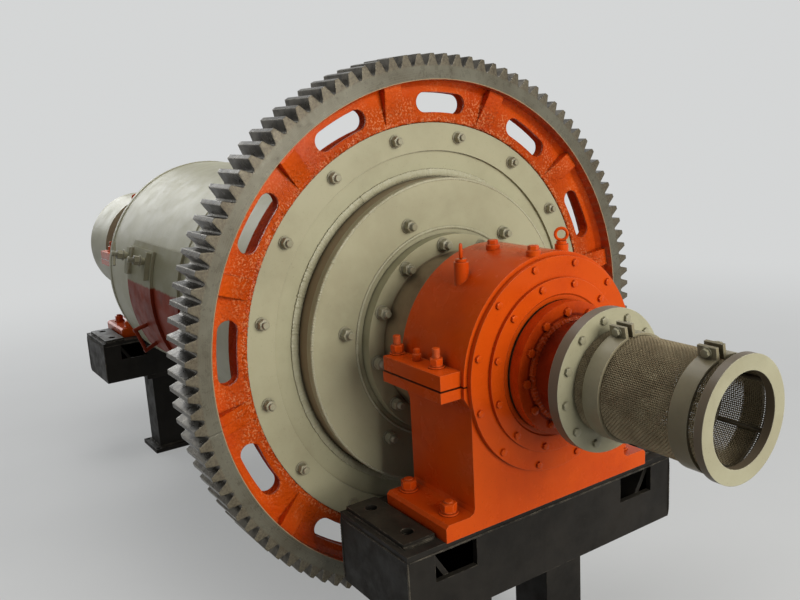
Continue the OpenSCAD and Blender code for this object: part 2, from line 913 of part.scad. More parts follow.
// Round bar handle: two feet that stand on the cover and a bar between them
module handle(x) {
    mid = (handle_angle_low + handle_angle_high) / 2;
    half = (handle_angle_high - handle_angle_low) / 2;
    cross_r = lid_out_r + handle_h - handle_bar_r;
    foot_len = handle_h - fit;
    bar_half = cross_r * sin(half);
    rotate([manhole_mid + mid, 0, 0]) {
        translate([x, cross_r * cos(half), -bar_half])
            cylinder(r = handle_bar_r - handle_step, h = 2 * bar_half, $fn = 48);
        for (s = [-1, 1]) {
            rotate([s * half, 0, 0]) translate([x, lid_out_r + fit, 0]) rotate([-90, 0, 0])
                cylinder(r = handle_bar_r, h = foot_len, $fn = 48);
        }
    }
}

// Two short clamps on the cover's upper part, each with a boss for its bolt, and the handle under them
module manhole_clamps() {
    color("lightgray") on_axis() {
        for (x = [cover_x0 + clamp_w, cover_x1 - clamp_w]) {
            curved_plate(lid_out_r + fit, lid_out_r + clamp_t, manhole_mid + clamp_angle_high,
                         manhole_mid + clamp_angle_low, x - clamp_w / 2, x + clamp_w / 2);
            rotate([manhole_mid + clamp_boss_angle, 0, 0]) translate([x, lid_out_r + clamp_t - join, 0])
                rotate([-90, 0, 0]) cylinder(r = clamp_w / 2 - clamp_boss_rim, h = clamp_boss_h + join);
        }
        handle((cover_x0 + cover_x1) / 2);
    }
}

legs_front();
legs_rear();
base_front();
base_rear();
anchor_pads_front();
anchor_pads_rear();
pedestal_front();
pedestal_rear();
housing_cap_front();
housing_cap_rear();
inner_cover_front();
inner_cover_rear();
outer_cover_front();
outer_cover_rear();
seal_ring_front();
seal_ring_rear();
lifting_eyes_front();
lifting_eyes_rear();
gear_half_upper();
gear_half_lower();
shell();
shell_flange();
end_flange_ring();
end_cover_plate();
end_drum();
end_disc();
trunnion_front();
feed_end_plate();
trunnion_rear();
feed_neck();
feed_drum();
feed_inlet();
discharge_neck();
trommel_back_plate();
trommel_flange();
trommel_screen();
trommel_bars();
trommel_hoop();
trommel_band_inner();
trommel_band_outer();
trommel_end_ring();
manhole_frame();
manhole_cover();
manhole_clamps();
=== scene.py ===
"""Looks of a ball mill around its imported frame.

First come the camera and the materials of the CAD nodes. Then come the pieces that are made only
here: fasteners, weld beads, the web's cast edge and the woven screen. The floor, the backdrop and
the lamps are last.
"""

import math
import random

import bpy
from mathutils import Matrix, Vector


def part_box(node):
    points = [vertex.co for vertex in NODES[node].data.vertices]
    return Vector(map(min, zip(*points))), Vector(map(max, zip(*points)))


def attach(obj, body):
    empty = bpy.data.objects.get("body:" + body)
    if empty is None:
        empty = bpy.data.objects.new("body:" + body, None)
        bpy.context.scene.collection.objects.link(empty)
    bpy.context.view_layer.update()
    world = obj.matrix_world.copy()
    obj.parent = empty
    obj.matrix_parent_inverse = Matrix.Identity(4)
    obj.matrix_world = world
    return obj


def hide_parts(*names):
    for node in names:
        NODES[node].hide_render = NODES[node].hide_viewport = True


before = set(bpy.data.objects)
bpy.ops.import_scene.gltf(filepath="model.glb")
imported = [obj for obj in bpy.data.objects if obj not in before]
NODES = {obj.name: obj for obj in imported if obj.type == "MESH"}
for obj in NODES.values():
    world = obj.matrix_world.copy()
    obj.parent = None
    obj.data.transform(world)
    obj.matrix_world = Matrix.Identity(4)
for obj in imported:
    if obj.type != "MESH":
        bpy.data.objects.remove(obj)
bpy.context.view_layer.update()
random.seed(7)

# Places in metres, read from the frame. X runs along the mill's axis, away from the feed end.
GEAR_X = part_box("gear_half_upper")[1].x
GEAR_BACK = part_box("gear_half_upper")[0].x
AXIS_Z = (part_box("shell")[0].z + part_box("shell")[1].z) / 2
SHELL_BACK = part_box("shell")[0].x
SHELL_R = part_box("shell")[1].z - AXIS_Z
FLANGE_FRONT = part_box("end_flange_ring")[1].x
PLATE_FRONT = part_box("end_cover_plate")[1].x
DISC_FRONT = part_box("end_disc")[1].x
DRUM_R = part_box("end_disc")[1].z - AXIS_Z
SPLIT_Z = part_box("housing_cap_front")[0].z

# Sizes of the CAD nodes that their boxes don't give
WEB_FRONT = GEAR_X - 0.050
WEB_IN_R = 0.602
RIM_R = 0.714
ROOT_R = 0.7525
TRUNNION_COLLAR_R = 0.238
HUB_EDGE_R = 0.134


# Camera, fitted to the photograph: its place is from the gear's front plane on the mill's axis
CAMERA_PLACE = (1.9075, -1.4142, 0.6266)
CAMERA_YAW = math.radians(33.511)
CAMERA_PITCH = math.radians(12.485)
CAMERA_ROLL = math.radians(-3.245)
CAMERA_LENS = 37.75
SENSOR_W = 36.0
VIEW_DEPTH = 100


def make_camera():
    ahead = Vector((-math.cos(CAMERA_YAW) * math.cos(CAMERA_PITCH),
                    math.sin(CAMERA_YAW) * math.cos(CAMERA_PITCH), -math.sin(CAMERA_PITCH)))
    right = Vector((math.sin(CAMERA_YAW), math.cos(CAMERA_YAW), 0))
    up = right.cross(ahead)
    c, s = math.cos(CAMERA_ROLL), math.sin(CAMERA_ROLL)
    x_axis = right * c + up * s
    y_axis = up * c - right * s
    turn = Matrix((x_axis, y_axis, -ahead)).transposed().to_4x4()
    place = Vector((GEAR_X, 0, AXIS_Z)) + Vector(CAMERA_PLACE)
    data = bpy.data.cameras.new("camera")
    data.lens = CAMERA_LENS
    data.sensor_width = SENSOR_W
    data.clip_end = VIEW_DEPTH
    camera = bpy.data.objects.new("camera", data)
    bpy.context.scene.collection.objects.link(camera)
    camera.matrix_world = Matrix.Translation(place) @ turn
    bpy.context.scene.camera = camera


# Spans over which a mask goes from 0 to 1
DRIFT_SPAN = (0.35, 0.7)        # of the noise that blends two shades
SHEEN_SPAN = (0.3, 0.75)        # of the noise that makes a gloss uneven
SIDEWAYS_SPAN = (0.85, 0.6)     # of a normal's part along the axis
CORNER_SPAN = (0.99, 0.8)       # of the cosine between a rounded normal and the plain one
CREVICE_SPAN = (0.75, 0.25)     # of the open share of the space round a point
BEVEL_SAMPLES = 4
CREVICE_SAMPLES = 6
COAT_ROUGHNESS = 0.13
THIN_COAT = 0.03
WHITE = (1, 1, 1, 1)
ORANGE_TINT = (1.0, 0.36, 0.14, 1)


def srgb(r, g, b):
    """Linear colour of an 8-bit screen colour."""
    def one(c):
        c = c / 255
        return c / 12.92 if c <= 0.04045 else ((c + 0.055) / 1.055) ** 2.4
    return (one(r), one(g), one(b), 1.0)


class Finish:
    """A material and short ways to add nodes to it. Noise scales are in waves to the metre."""

    def __init__(self, name):
        self.material = bpy.data.materials.new(name)
        self.material.use_nodes = True
        self.tree = self.material.node_tree
        self.shader = self.tree.nodes["Principled BSDF"]
        self.place = self.add("ShaderNodeTexCoord").outputs["Object"]

    def add(self, kind, inputs=None, **settings):
        """Adds a node whose inputs are values, or sockets to link."""
        made = self.tree.nodes.new(kind)
        for key, value in settings.items():
            setattr(made, key, value)
        for key, value in (inputs or {}).items():
            self.put(made.inputs[key], value)
        return made

    def put(self, socket, value):
        if isinstance(value, bpy.types.NodeSocket):
            self.tree.links.new(value, socket)
        else:
            socket.default_value = value

    def math(self, operation, a, b=0.0):
        return self.add("ShaderNodeMath", {0: a, 1: b}, operation=operation).outputs[0]

    def times(self, a, b):
        return self.math("MULTIPLY", a, b)

    def minus(self, a, b):
        return self.math("SUBTRACT", a, b)

    def ramp(self, value, low, high, start=0.0, end=1.0):
        made = self.add("ShaderNodeMapRange", {0: value, 1: low, 2: high, 3: start, 4: end},
                        interpolation_type="SMOOTHSTEP")
        return made.outputs[0]

    def mix(self, factor, a, b):
        return self.add("ShaderNodeMix", {0: factor, 6: a, 7: b}, data_type="RGBA").outputs[2]

    def over(self, base, mask, colour, share):
        """Lays a share of a colour over a base where a mask is 1."""
        return self.mix(self.times(mask, share), base, colour)

    def noise(self, scale, detail, roughness, place=None):
        made = self.add("ShaderNodeTexNoise", {"Vector": place or self.place, "Scale": scale,
                                               "Detail": detail, "Roughness": roughness})
        return made.outputs[0]

    def patches(self, scale, detail, roughness, low, high, end=1.0):
        """Noise as patches: 0 where it is under low, end where it is over high."""
        return self.ramp(self.noise(scale, detail, roughness), low, high, 0.0, end)

    def drift(self, scale, detail=5, roughness=0.6):
        """Soft patches that blend two shades of one colour."""
        return self.patches(scale, detail, roughness, *DRIFT_SPAN)

    def sheen(self, scale, low, high):
        """Roughness of a surface, from low to high in soft patches."""
        return self.ramp(self.noise(scale, detail=4, roughness=0.6), *SHEEN_SPAN, low, high)

    def stretched(self, scale):
        return self.add("ShaderNodeMapping", {"Vector": self.place, "Scale": scale}).outputs[0]

    def radius(self):
        """Distance from the mill's axis."""
        low = self.add("ShaderNodeVectorMath", {0: self.place, 1: (0, 0, -AXIS_Z)}, operation="ADD")
        flat = self.add("ShaderNodeVectorMath", {0: low.outputs[0], 1: (0, 1, 1)}, operation="MULTIPLY")
        return self.length(flat.outputs[0])

    def length(self, vector):
        return self.add("ShaderNodeVectorMath", {0: vector}, operation="LENGTH").outputs["Value"]

    def part(self, axis):
        """Place along an axis."""
        return self.add("ShaderNodeSeparateXYZ", {0: self.place}).outputs[axis]

    def normal_part(self, axis):
        """Part of the normal along an axis."""
        normal = self.add("ShaderNodeTexCoord").outputs["Normal"]
        return self.add("ShaderNodeSeparateXYZ", {0: normal}).outputs[axis]

    def sideways(self):
        """1 where a face looks away from the mill's axis or towards it, 0 where it looks along it."""
        return self.ramp(self.math("ABSOLUTE", self.normal_part(0)), *SIDEWAYS_SPAN)

    def rounded(self, radius):
        """Normal as if the edges were rounded."""
        return self.add("ShaderNodeBevel", {"Radius": radius}, samples=BEVEL_SAMPLES).outputs[0]

    def corner(self, radius):
        """1 on sharp edges, 0 on flat faces."""
        plain = self.add("ShaderNodeNewGeometry").outputs["Normal"]
        same = self.add("ShaderNodeVectorMath", {0: self.rounded(radius), 1: plain},
                        operation="DOT_PRODUCT")
        return self.ramp(same.outputs["Value"], *CORNER_SPAN)

    def crevice(self, distance):
        """Mask for painted shade: 1 in narrow corners, 0 in the open."""
        made = self.add("ShaderNodeAmbientOcclusion", {"Distance": distance}, samples=CREVICE_SAMPLES)
        return self.ramp(made.outputs["AO"], *CREVICE_SPAN)

    def bump(self, normal, relief, strength, height):
        return self.add("ShaderNodeBump", {"Height": relief, "Strength": strength, "Distance": height,
                                           "Normal": normal}).outputs[0]

    def grain(self, normal, scale, detail, roughness, strength, height):
        """Bumps made of noise."""
        return self.bump(normal, self.noise(scale, detail, roughness), strength, height)

    def set(self, colour, roughness, normal=None, coat=0.0, specular=0.5, metallic=0.0, tint=WHITE):
        values = {"Base Color": colour, "Roughness": roughness, "Coat Weight": coat,
                  "Coat Roughness": COAT_ROUGHNESS, "Specular IOR Level": specular,
                  "Specular Tint": tint, "Metallic": metallic}
        if normal:
            values["Normal"] = normal
        for key, value in values.items():
            self.put(self.shader.inputs[key], value)
        return self.material


# Dark line of a joint: distances from its middle where it is full and where it ends
SEAM_FULL = 0.0014
SEAM_END = 0.0026


def enamel(name, colour, dull, dirt_and_shade, gloss, edge, lumps=0.0, specular=0.25, tint=WHITE, rim=None,
           seam=None):
    """Sprayed paint on steel or on a rough casting, with a painted highlight along its edges.

    gloss is its least roughness and edge the colour of the painted highlight on its edges. The
    dark colour is that of specks, stains and joints, and of the painted shade in its corners. rim
    is the colour of side faces round a disc: painted shade on the trommel's rings, the bare brown
    wall on the drum. seam is the height of a joint that shows as a dark line.
    """
    f = Finish(name)
    base = f.mix(f.drift(scale=4.5), colour, dull)
    # rim: painted shade on the side faces of the trommel's rings; on the drum, its bare brown wall
    if rim:
        base = f.mix(f.sideways(), base, rim)
    # Painted highlight: a paler colour along sharp edges
    base = f.over(base, f.corner(radius=0.0025), edge, share=0.6)
    # Painted shade: the darker colour laid in narrow corners
    base = f.over(base, f.crevice(distance=0.03), dirt_and_shade, share=0.7)
    specks = f.patches(scale=190, detail=2, roughness=0.5, low=0.66, high=0.74)
    base = f.over(base, specks, dirt_and_shade, share=0.2)
    if seam:
        off = f.math("ABSOLUTE", f.minus(f.part(2), seam))
        base = f.mix(f.ramp(off, SEAM_END, SEAM_FULL), base, dirt_and_shade)
    stain = f.patches(scale=3, detail=7, roughness=0.7, low=0.5, high=0.75)
    base = f.over(base, stain, dirt_and_shade, share=0.16)
    rough = f.sheen(scale=14, low=gloss, high=gloss + 0.12)
    normal = f.grain(f.rounded(0.002), scale=300, detail=2, roughness=0.4, strength=0.12, height=0.0006)
    normal = f.grain(normal, scale=9, detail=2, roughness=0.4, strength=0.06, height=0.004)
    if lumps:
        normal = f.grain(normal, scale=85, detail=4, roughness=0.6, strength=lumps, height=0.004)
    return f.set(base, rough, normal, THIN_COAT, specular, tint=tint)


# Girth gear: distances over which its looks change, in metres
RIM_BLUR = 0.0004               # either side of the rim's inner edge
RIM_LINE = (0.0028, 0.0018)     # outwards from that edge, end of a pale line round it
TOOTH_SPAN = (-0.004, 0.001)    # outwards from the tooth roots, start of the teeth's looks
ROUGH_SPAN = (0.012, 0.075)     # inwards from the rim, growth of the casting's roughness
GLINT_SPAN = (0.022, 0.008)     # outwards from the web's inner edge, end of its dense painted glints
DEEP_SPAN = (0.004, 0.008)      # behind the web's front, start of the slots' walls
TURNING_WAVES = 700             # turned grooves to the metre
WEB_COAT = 0.12                 # clear coat of the paint, none in the slots
GEAR_SPECULAR = 0.25
DEEP_LOSS = 0.24                # how much less of it the slots' walls have


def web_paint(f, r, rough_part, deep):
    """Orange paint of the cast web, with painted glints as pale dots where it is rough."""
    paint = f.mix(f.drift(scale=5), srgb(208, 80, 14), srgb(188, 63, 10))
    # Painted shade: darker orange in narrow corners
    paint = f.over(paint, f.crevice(distance=0.02), srgb(90, 26, 6), share=0.6)
    near_edge = f.ramp(r, *(WEB_IN_R + off for off in GLINT_SPAN))
    # Painted glints: pale dots on the rough casting, dense near its inner edge
    clusters = f.patches(scale=9, detail=3, roughness=0.6, low=0.42, high=0.6)
    painted_glints = f.patches(scale=165, detail=2, roughness=0.5, low=0.52, high=0.6)
    painted_glints = f.times(painted_glints, f.math("MAXIMUM", near_edge, clusters))
    paint = f.over(paint, f.times(painted_glints, rough_part), srgb(240, 158, 104), share=0.6)
    return f.mix(deep, paint, srgb(188, 64, 11))


def rim_steel(f, tooth, flank, turning, line):
    """Turned and stained steel of the rim, brown on the teeth's ends and dark on their flanks."""
    stain = f.patches(scale=6, detail=6, roughness=0.65, low=0.34, high=0.68)
    face = f.mix(stain, srgb(104, 101, 87), srgb(74, 67, 52))
    face = f.mix(f.ramp(turning, 0.4, 0.7), face, srgb(122, 119, 104))
    pits = f.patches(scale=60, detail=5, roughness=0.7, low=0.56, high=0.72)
    face = f.over(face, pits, srgb(50, 42, 30), share=0.6)
    grime = f.patches(scale=150, detail=4, roughness=0.7, low=0.4, high=0.62)
    brown = f.mix(grime, srgb(112, 100, 80), srgb(62, 48, 34))
    face = f.over(face, tooth, brown, share=0.5)
    clouds = f.patches(scale=30, detail=4, roughness=0.6, low=0.4, high=0.75)
    dark = f.mix(clouds, srgb(80, 75, 66), srgb(36, 32, 26))
    dark = f.over(dark, f.corner(radius=0.003), srgb(180, 174, 160), share=0.6)
    return f.mix(line, f.mix(flank, face, dark), srgb(176, 150, 116))


def gear_finish():
    """Orange web inside the rim, bare machined steel outside it."""
    f = Finish("girth_gear")
    r = f.radius()
    rim = f.ramp(r, RIM_R - RIM_BLUR, RIM_R + RIM_BLUR)
    web = f.minus(1.0, rim)
    line = f.times(rim, f.ramp(r, *(RIM_R + off for off in RIM_LINE)))
    tooth = f.ramp(r, *(ROOT_R + off for off in TOOTH_SPAN))
    flank = f.times(f.sideways(), tooth)
    rough_part = f.ramp(r, *(RIM_R - off for off in ROUGH_SPAN), 0.3, 1.0)
    deep = f.ramp(f.part(0), *(WEB_FRONT - off for off in DEEP_SPAN))
    outwards = f.add("ShaderNodeCombineXYZ", {0: f.times(r, TURNING_WAVES)}).outputs[0]
    turning = f.noise(scale=1.0, detail=4, roughness=0.75, place=outwards)
    colour = f.mix(rim, web_paint(f, r, rough_part, deep), rim_steel(f, tooth, flank, turning, line))
    metal = f.times(rim, f.ramp(flank, 0, 1, start=0.25, end=0.95))
    metal = f.times(metal, f.ramp(line, 0, 1, start=1.0, end=0.2))
    paint_roughness = f.math("ADD", f.sheen(scale=16, low=0.16, high=0.34), f.times(deep, 0.4))
    steel_roughness = f.sheen(scale=40, low=0.24, high=0.4)
    rough = f.add("ShaderNodeMix", {0: rim, 2: paint_roughness, 3: steel_roughness}).outputs[0]
    casting = f.times(f.noise(scale=95, detail=4, roughness=0.62), f.times(rough_part, web))
    normal = f.bump(f.rounded(0.005), casting, strength=1.0, height=0.014)
    normal = f.bump(normal, turning, strength=0.12, height=0.0005)
    normal = f.grain(normal, scale=220, detail=3, roughness=0.5, strength=0.15, height=0.0006)
    coat = f.times(web, f.minus(WEB_COAT, f.times(deep, WEB_COAT)))
    loss = f.times(deep, f.minus(DEEP_LOSS, f.times(rim, DEEP_LOSS)))
    specular = f.minus(GEAR_SPECULAR, loss)
    return f.set(colour, rough, normal, coat, specular, metal, f.mix(rim, ORANGE_TINT, WHITE))


def black_paint(name, colour, dust, wear=0.35, gloss=0.42):
    """Dark paint with dust on its upper faces, worn edges and faint scratches."""
    f = Finish(name)
    base = f.mix(f.drift(scale=6, detail=6, roughness=0.65), colour, srgb(25, 23, 20))
    settled = f.patches(scale=11, detail=6, roughness=0.7, low=0.3, high=0.75)
    dusty = f.times(f.ramp(f.normal_part(2), 0.8, 0.97), settled)
    base = f.over(base, dusty, dust, share=0.6)
    chips = f.patches(scale=38, detail=4, roughness=0.6, low=0.42, high=0.62, end=wear)
    base = f.mix(f.times(f.corner(radius=0.004), chips), base, srgb(128, 120, 104))
    lines = f.noise(scale=5, detail=6, roughness=0.8, place=f.stretched((1, 8, 40)))
    scratch = f.ramp(lines, 0.63, 0.7)
    base = f.over(base, scratch, srgb(80, 76, 68), share=0.3)
    rough = f.sheen(scale=20, low=gloss, high=gloss + 0.25)
    normal = f.grain(f.rounded(0.0025), scale=160, detail=3, roughness=0.5, strength=0.2, height=0.0008)
    return f.set(base, rough, normal, specular=0.12)


def dark_steel(name, colour, stain, metallic, gloss=0.35):
    """Bare or greasy steel."""
    f = Finish(name)
    base = f.mix(f.drift(scale=18, detail=6, roughness=0.7), colour, stain)
    rough = f.sheen(scale=45, low=gloss, high=gloss + 0.25)
    normal = f.grain(f.rounded(0.0015), scale=130, detail=4, roughness=0.6, strength=0.25,
                     height=0.0008)
    return f.set(base, rough, normal, specular=0.3, metallic=metallic)


def trunnion_finish():
    """Grey painted flange, and brown on the collar and the journal inside it."""
    f = Finish("trunnion_paint")
    grey = f.mix(f.drift(scale=4.5), srgb(170, 165, 134), srgb(156, 150, 120))
    brown = f.mix(f.drift(scale=12, roughness=0.65), srgb(148, 131, 100), srgb(122, 106, 80))
    flange = f.ramp(f.radius(), TRUNNION_COLLAR_R + 0.003, TRUNNION_COLLAR_R + 0.005)
    base = f.mix(flange, brown, grey)
    # Painted shade: darker in narrow corners
    base = f.over(base, f.crevice(distance=0.03), srgb(40, 33, 24), share=0.7)
    rough = f.sheen(scale=16, low=0.36, high=0.55)
    normal = f.grain(f.rounded(0.002), scale=120, detail=3, roughness=0.5, strength=0.15, height=0.0008)
    return f.set(base, rough, normal, specular=0.25)


def neck_finish():
    """Orange hub flange, and a darker tube in front of it whose darkness is painted shade."""
    f = Finish("neck_paint")
    drift = f.drift(scale=9)
    hub = f.mix(drift, srgb(200, 72, 18), srgb(172, 54, 12))
    # Painted shade: the tube's darker orange stands for the shadow of the trommel's flange
    tube = f.mix(drift, srgb(142, 42, 12), srgb(108, 28, 8))
    flange = f.ramp(f.radius(), HUB_EDGE_R + 0.001, HUB_EDGE_R + 0.006)
    base = f.mix(flange, tube, hub)
    # Painted shade: darker in narrow corners
    base = f.over(base, f.crevice(distance=0.03), srgb(46, 12, 4), share=0.7)
    rough = f.sheen(scale=14, low=0.22, high=0.42)
    normal = f.grain(f.rounded(0.002), scale=85, detail=4, roughness=0.6, strength=0.25, height=0.003)
    return f.set(base, rough, normal, THIN_COAT, specular=0.3, tint=ORANGE_TINT)


# Lower edge of the manhole's grey paint: heights over the mill's axis at which it starts and is
# full, and how far it wavers
PRIMER_EDGE = (0.045, 0.055)
PRIMER_WAVER = 0.02


def manhole_finish():
    """Grey paint above a line along the shell, red primer below it."""
    f = Finish("manhole_paint")
    primer = f.mix(f.drift(scale=8), srgb(138, 50, 24), srgb(110, 38, 20))
    grey = f.mix(f.drift(scale=4.5), srgb(160, 156, 130), srgb(146, 141, 114))
    wave = f.noise(scale=20, detail=3, roughness=0.6)
    height = f.math("ADD", f.part(2), f.times(wave, PRIMER_WAVER))
    above = f.ramp(height, *(AXIS_Z + off for off in PRIMER_EDGE))
    rough = f.sheen(scale=14, low=0.4, high=0.65)
    normal = f.grain(f.rounded(0.002), scale=140, detail=3, roughness=0.5, strength=0.15, height=0.0008)
    return f.set(f.mix(above, primer, grey), rough, normal, specular=0.1)


# Colours that several paints share: fresh and dull, and a painted highlight along the edges
ORANGE_SHADES = srgb(208, 78, 14), srgb(194, 67, 11)
ORANGE_EDGE_HIGHLIGHT = srgb(236, 124, 78)
GREY_SHADES = srgb(172, 168, 138), srgb(160, 155, 126)
GREY_EDGE_HIGHLIGHT = srgb(206, 203, 180)

ORANGE = enamel("orange_paint", *ORANGE_SHADES, dirt_and_shade=srgb(72, 20, 6), gloss=0.2, edge=ORANGE_EDGE_HIGHLIGHT,
                tint=ORANGE_TINT)
HOUSING = enamel("housing_paint", *ORANGE_SHADES, dirt_and_shade=srgb(52, 14, 4), gloss=0.2, edge=ORANGE_EDGE_HIGHLIGHT,
                 tint=ORANGE_TINT, seam=SPLIT_Z)
GREY = enamel("grey_paint", *GREY_SHADES, dirt_and_shade=srgb(82, 74, 54), gloss=0.34, edge=GREY_EDGE_HIGHLIGHT)
WELD = enamel("weld_paint", srgb(178, 174, 146), srgb(160, 155, 126), dirt_and_shade=srgb(84, 76, 56), gloss=0.2,
              edge=GREY_EDGE_HIGHLIGHT, lumps=0.8)
ORANGE_WELD = enamel("orange_weld_paint", srgb(190, 66, 14), srgb(158, 46, 8), dirt_and_shade=srgb(80, 24, 6),
                     gloss=0.18, edge=srgb(206, 84, 30), lumps=0.6, specular=0.35, tint=ORANGE_TINT)
GREY_BOLT = enamel("grey_bolt_paint", srgb(160, 155, 130), srgb(136, 130, 104), dirt_and_shade=srgb(58, 50, 36),
                   gloss=0.3, edge=GREY_EDGE_HIGHLIGHT)
BAND = enamel("band_paint", srgb(152, 143, 116), srgb(124, 115, 90), dirt_and_shade=srgb(50, 44, 32), gloss=0.36,
              edge=srgb(196, 190, 164))
# Painted shade: the rim colour darkens the side faces of the trommel's flange and end ring
RING = enamel("ring_paint", srgb(170, 166, 138), srgb(158, 152, 124), dirt_and_shade=srgb(70, 62, 46), gloss=0.36,
              edge=GREY_EDGE_HIGHLIGHT, rim=srgb(112, 99, 80))
DRUM = enamel("drum_paint", *GREY_SHADES, dirt_and_shade=srgb(74, 64, 46), gloss=0.34, edge=GREY_EDGE_HIGHLIGHT,
              rim=srgb(146, 130, 102))
BACK = enamel("back_plate_paint", srgb(112, 90, 74), srgb(92, 70, 56), dirt_and_shade=srgb(46, 34, 26), gloss=0.4,
              edge=srgb(150, 130, 112))
NECK_ORANGE = neck_finish()
BLACK = black_paint("black_paint", srgb(38, 35, 31), dust=srgb(66, 61, 52))
PAD = black_paint("pad_paint", srgb(42, 38, 32), dust=srgb(66, 60, 50), wear=0.8, gloss=0.28)
BLACK_WELD = black_paint("black_weld_paint", srgb(60, 56, 50), dust=srgb(96, 90, 78), wear=0.8)
TRUNNION = trunnion_finish()
STEEL = dark_steel("bare_steel", srgb(110, 103, 88), stain=srgb(72, 64, 52), metallic=0.5)
WIRE = dark_steel("screen_wire", srgb(158, 144, 115), stain=srgb(130, 116, 90), metallic=0.35,
                  gloss=0.5)
GEAR = gear_finish()
MANHOLE = manhole_finish()


def dress_nodes():
    """Gives every CAD node its material, by how its name starts. The others are grey."""
    kinds = [
        (BLACK, ("legs", "base")), (PAD, ("anchor_pads",)), (GEAR, ("gear_half",)),
        (TRUNNION, ("trunnion",)), (MANHOLE, ("manhole",)), (STEEL, ("trommel_bars", "trommel_hoop")),
        (BAND, ("trommel_band",)), (BACK, ("trommel_back",)), (RING, ("trommel_flange", "trommel_end")),
        (DRUM, ("end_drum",)), (HOUSING, ("pedestal", "housing_cap")),
        (NECK_ORANGE, ("discharge_neck", "feed_neck")),
        (ORANGE, ("inner_cover", "outer_cover", "seal_ring", "lifting_eyes")),
    ]
    for name, thing in NODES.items():
        finish = next((m for m, starts in kinds if name.startswith(starts)), GREY)
        thing.data.materials.clear()
        thing.data.materials.append(finish)


# Tools for pieces
SHARP_ANGLE = math.radians(32)
STILL = Matrix.Identity(4)
ROUND_SIDES = 24
HEX_CROWN = 0.95                # radius of a hexagon's flat top, as a share of half its width
HEX_SLOPE = 0.55                # fall of the round chamfer outside it, for 1 outwards


class Shape:
    """Points and faces that become one piece."""

    def __init__(self):
        self.points = []
        self.faces = []

    def add(self, points, faces, turn=STILL):
        start = len(self.points)
        self.points += [turn @ Vector(p) for p in points]
        self.faces += [[start + i for i in face] for face in faces]

    def rows(self, rows, turn=STILL, closed=False):
        """Skins rows of points, each row a closed loop. A closed skin has no ends; others get caps."""
        n = len(rows[0])
        faces = []
        for i in range(len(rows) if closed else len(rows) - 1):
            j = (i + 1) % len(rows)
            for k in range(n):
                m = (k + 1) % n
                faces.append((i * n + k, i * n + m, j * n + m, j * n + k))
        if not closed:
            faces.append(tuple(reversed(range(n))))
            faces.append(tuple((len(rows) - 1) * n + k for k in range(n)))
        self.add([p for row in rows for p in row], faces, turn)

    def lathe(self, profile, turn, sides=ROUND_SIDES):
        """Turns (radius, height) points about the local Z axis, from the lowest up."""
        angles = [math.tau * k / sides for k in range(sides)]
        self.rows([[(r * math.cos(a), r * math.sin(a), h) for a in angles] for r, h in profile], turn)

    def hexagon(self, across, low, high, turn):
        """Hexagon nut or head with its round chamfer at the top."""
        flat = across / 2
        crown = flat * HEX_CROWN
        rows = [[], [], []]
        for k in range(ROUND_SIDES):
            a = math.tau * k / ROUND_SIDES
            off = (a + math.pi / 6) % (math.pi / 3) - math.pi / 6
            r = flat / math.cos(off)
            top = high - (r - crown) * HEX_SLOPE
            c, s = math.cos(a), math.sin(a)
            rows[0].append((r * c, r * s, low))
            rows[1].append((r * c, r * s, top))
            rows[2].append((crown * c, crown * s, high))
        self.rows(rows, turn)


def facing(place, direction, roll=0.0):
    """Turns local Z to a direction at a place."""
    turn = Vector(direction).to_track_quat("Z", "Y").to_matrix().to_4x4()
    return Matrix.Translation(place) @ turn @ Matrix.Rotation(roll, 4, "Z")


def on_circle(x, radius, degrees):
    """Point on a circle about the mill's axis; 0 is +Y and 90 is up."""
    a = math.radians(degrees)
    return Vector((x, radius * math.cos(a), AXIS_Z + radius * math.sin(a)))


def piece(name, shape, material, body, stands_for=()):
    """Makes an object of a shape and fastens it to a body."""
    mesh = bpy.data.meshes.new(name)
    mesh.from_pydata(shape.points, [], shape.faces)
    mesh.update()
    mesh.polygons.foreach_set("use_smooth", [True] * len(mesh.polygons))
    mesh.set_sharp_from_angle(angle=SHARP_ANGLE)
    mesh.materials.append(material)
    made = bpy.data.objects.new(name, mesh)
    bpy.context.scene.collection.objects.link(made)
    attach(made, body)
    if stands_for:
        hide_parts(*stands_for)


# Fasteners: heights, radii and widths across flats, as shares of the bolt's nominal diameter
WASHER_H, WASHER_R = 0.18, 1.02
SPRING_H, SPRING_R = 0.2, 0.8
NUT_H, NUT_ACROSS = 0.8, 1.5
HEAD_H, HEAD_ACROSS = 0.65, 1.6
HEAD_WASHER_H, HEAD_WASHER_R = 0.15, 1.0
STUD_IN_NUT = 0.05
WASHER_CHAMFER = 0.25           # as a share of the washer's height
THREAD_PITCH = 0.002            # in metres
THREAD_ROOT = 0.9               # as a share of the stud's radius, as are the tip's two rings
TIP_LOW, TIP_TOP = 0.95, 0.8
TIP_H = 0.6                     # as a share of the pitch
STUD_SIDES = 16


def washer(shape, turn, outer, height):
    soft = height * WASHER_CHAMFER
    inner = outer - soft
    shape.lathe([(inner, 0), (outer, soft), (outer, height - soft), (inner, height)], turn)


def stud(shape, turn, radius, low, high):
    """Threaded end: ridges up to a chamfered tip."""
    profile = [(radius, low)]
    h = low + THREAD_PITCH
    while h < high - THREAD_PITCH:
        profile += [(radius * THREAD_ROOT, h), (radius, h + THREAD_PITCH / 2)]
        h += THREAD_PITCH
    profile += [(radius * TIP_LOW, high - THREAD_PITCH * TIP_H), (radius * TIP_TOP, high)]
    shape.lathe(profile, turn, STUD_SIDES)


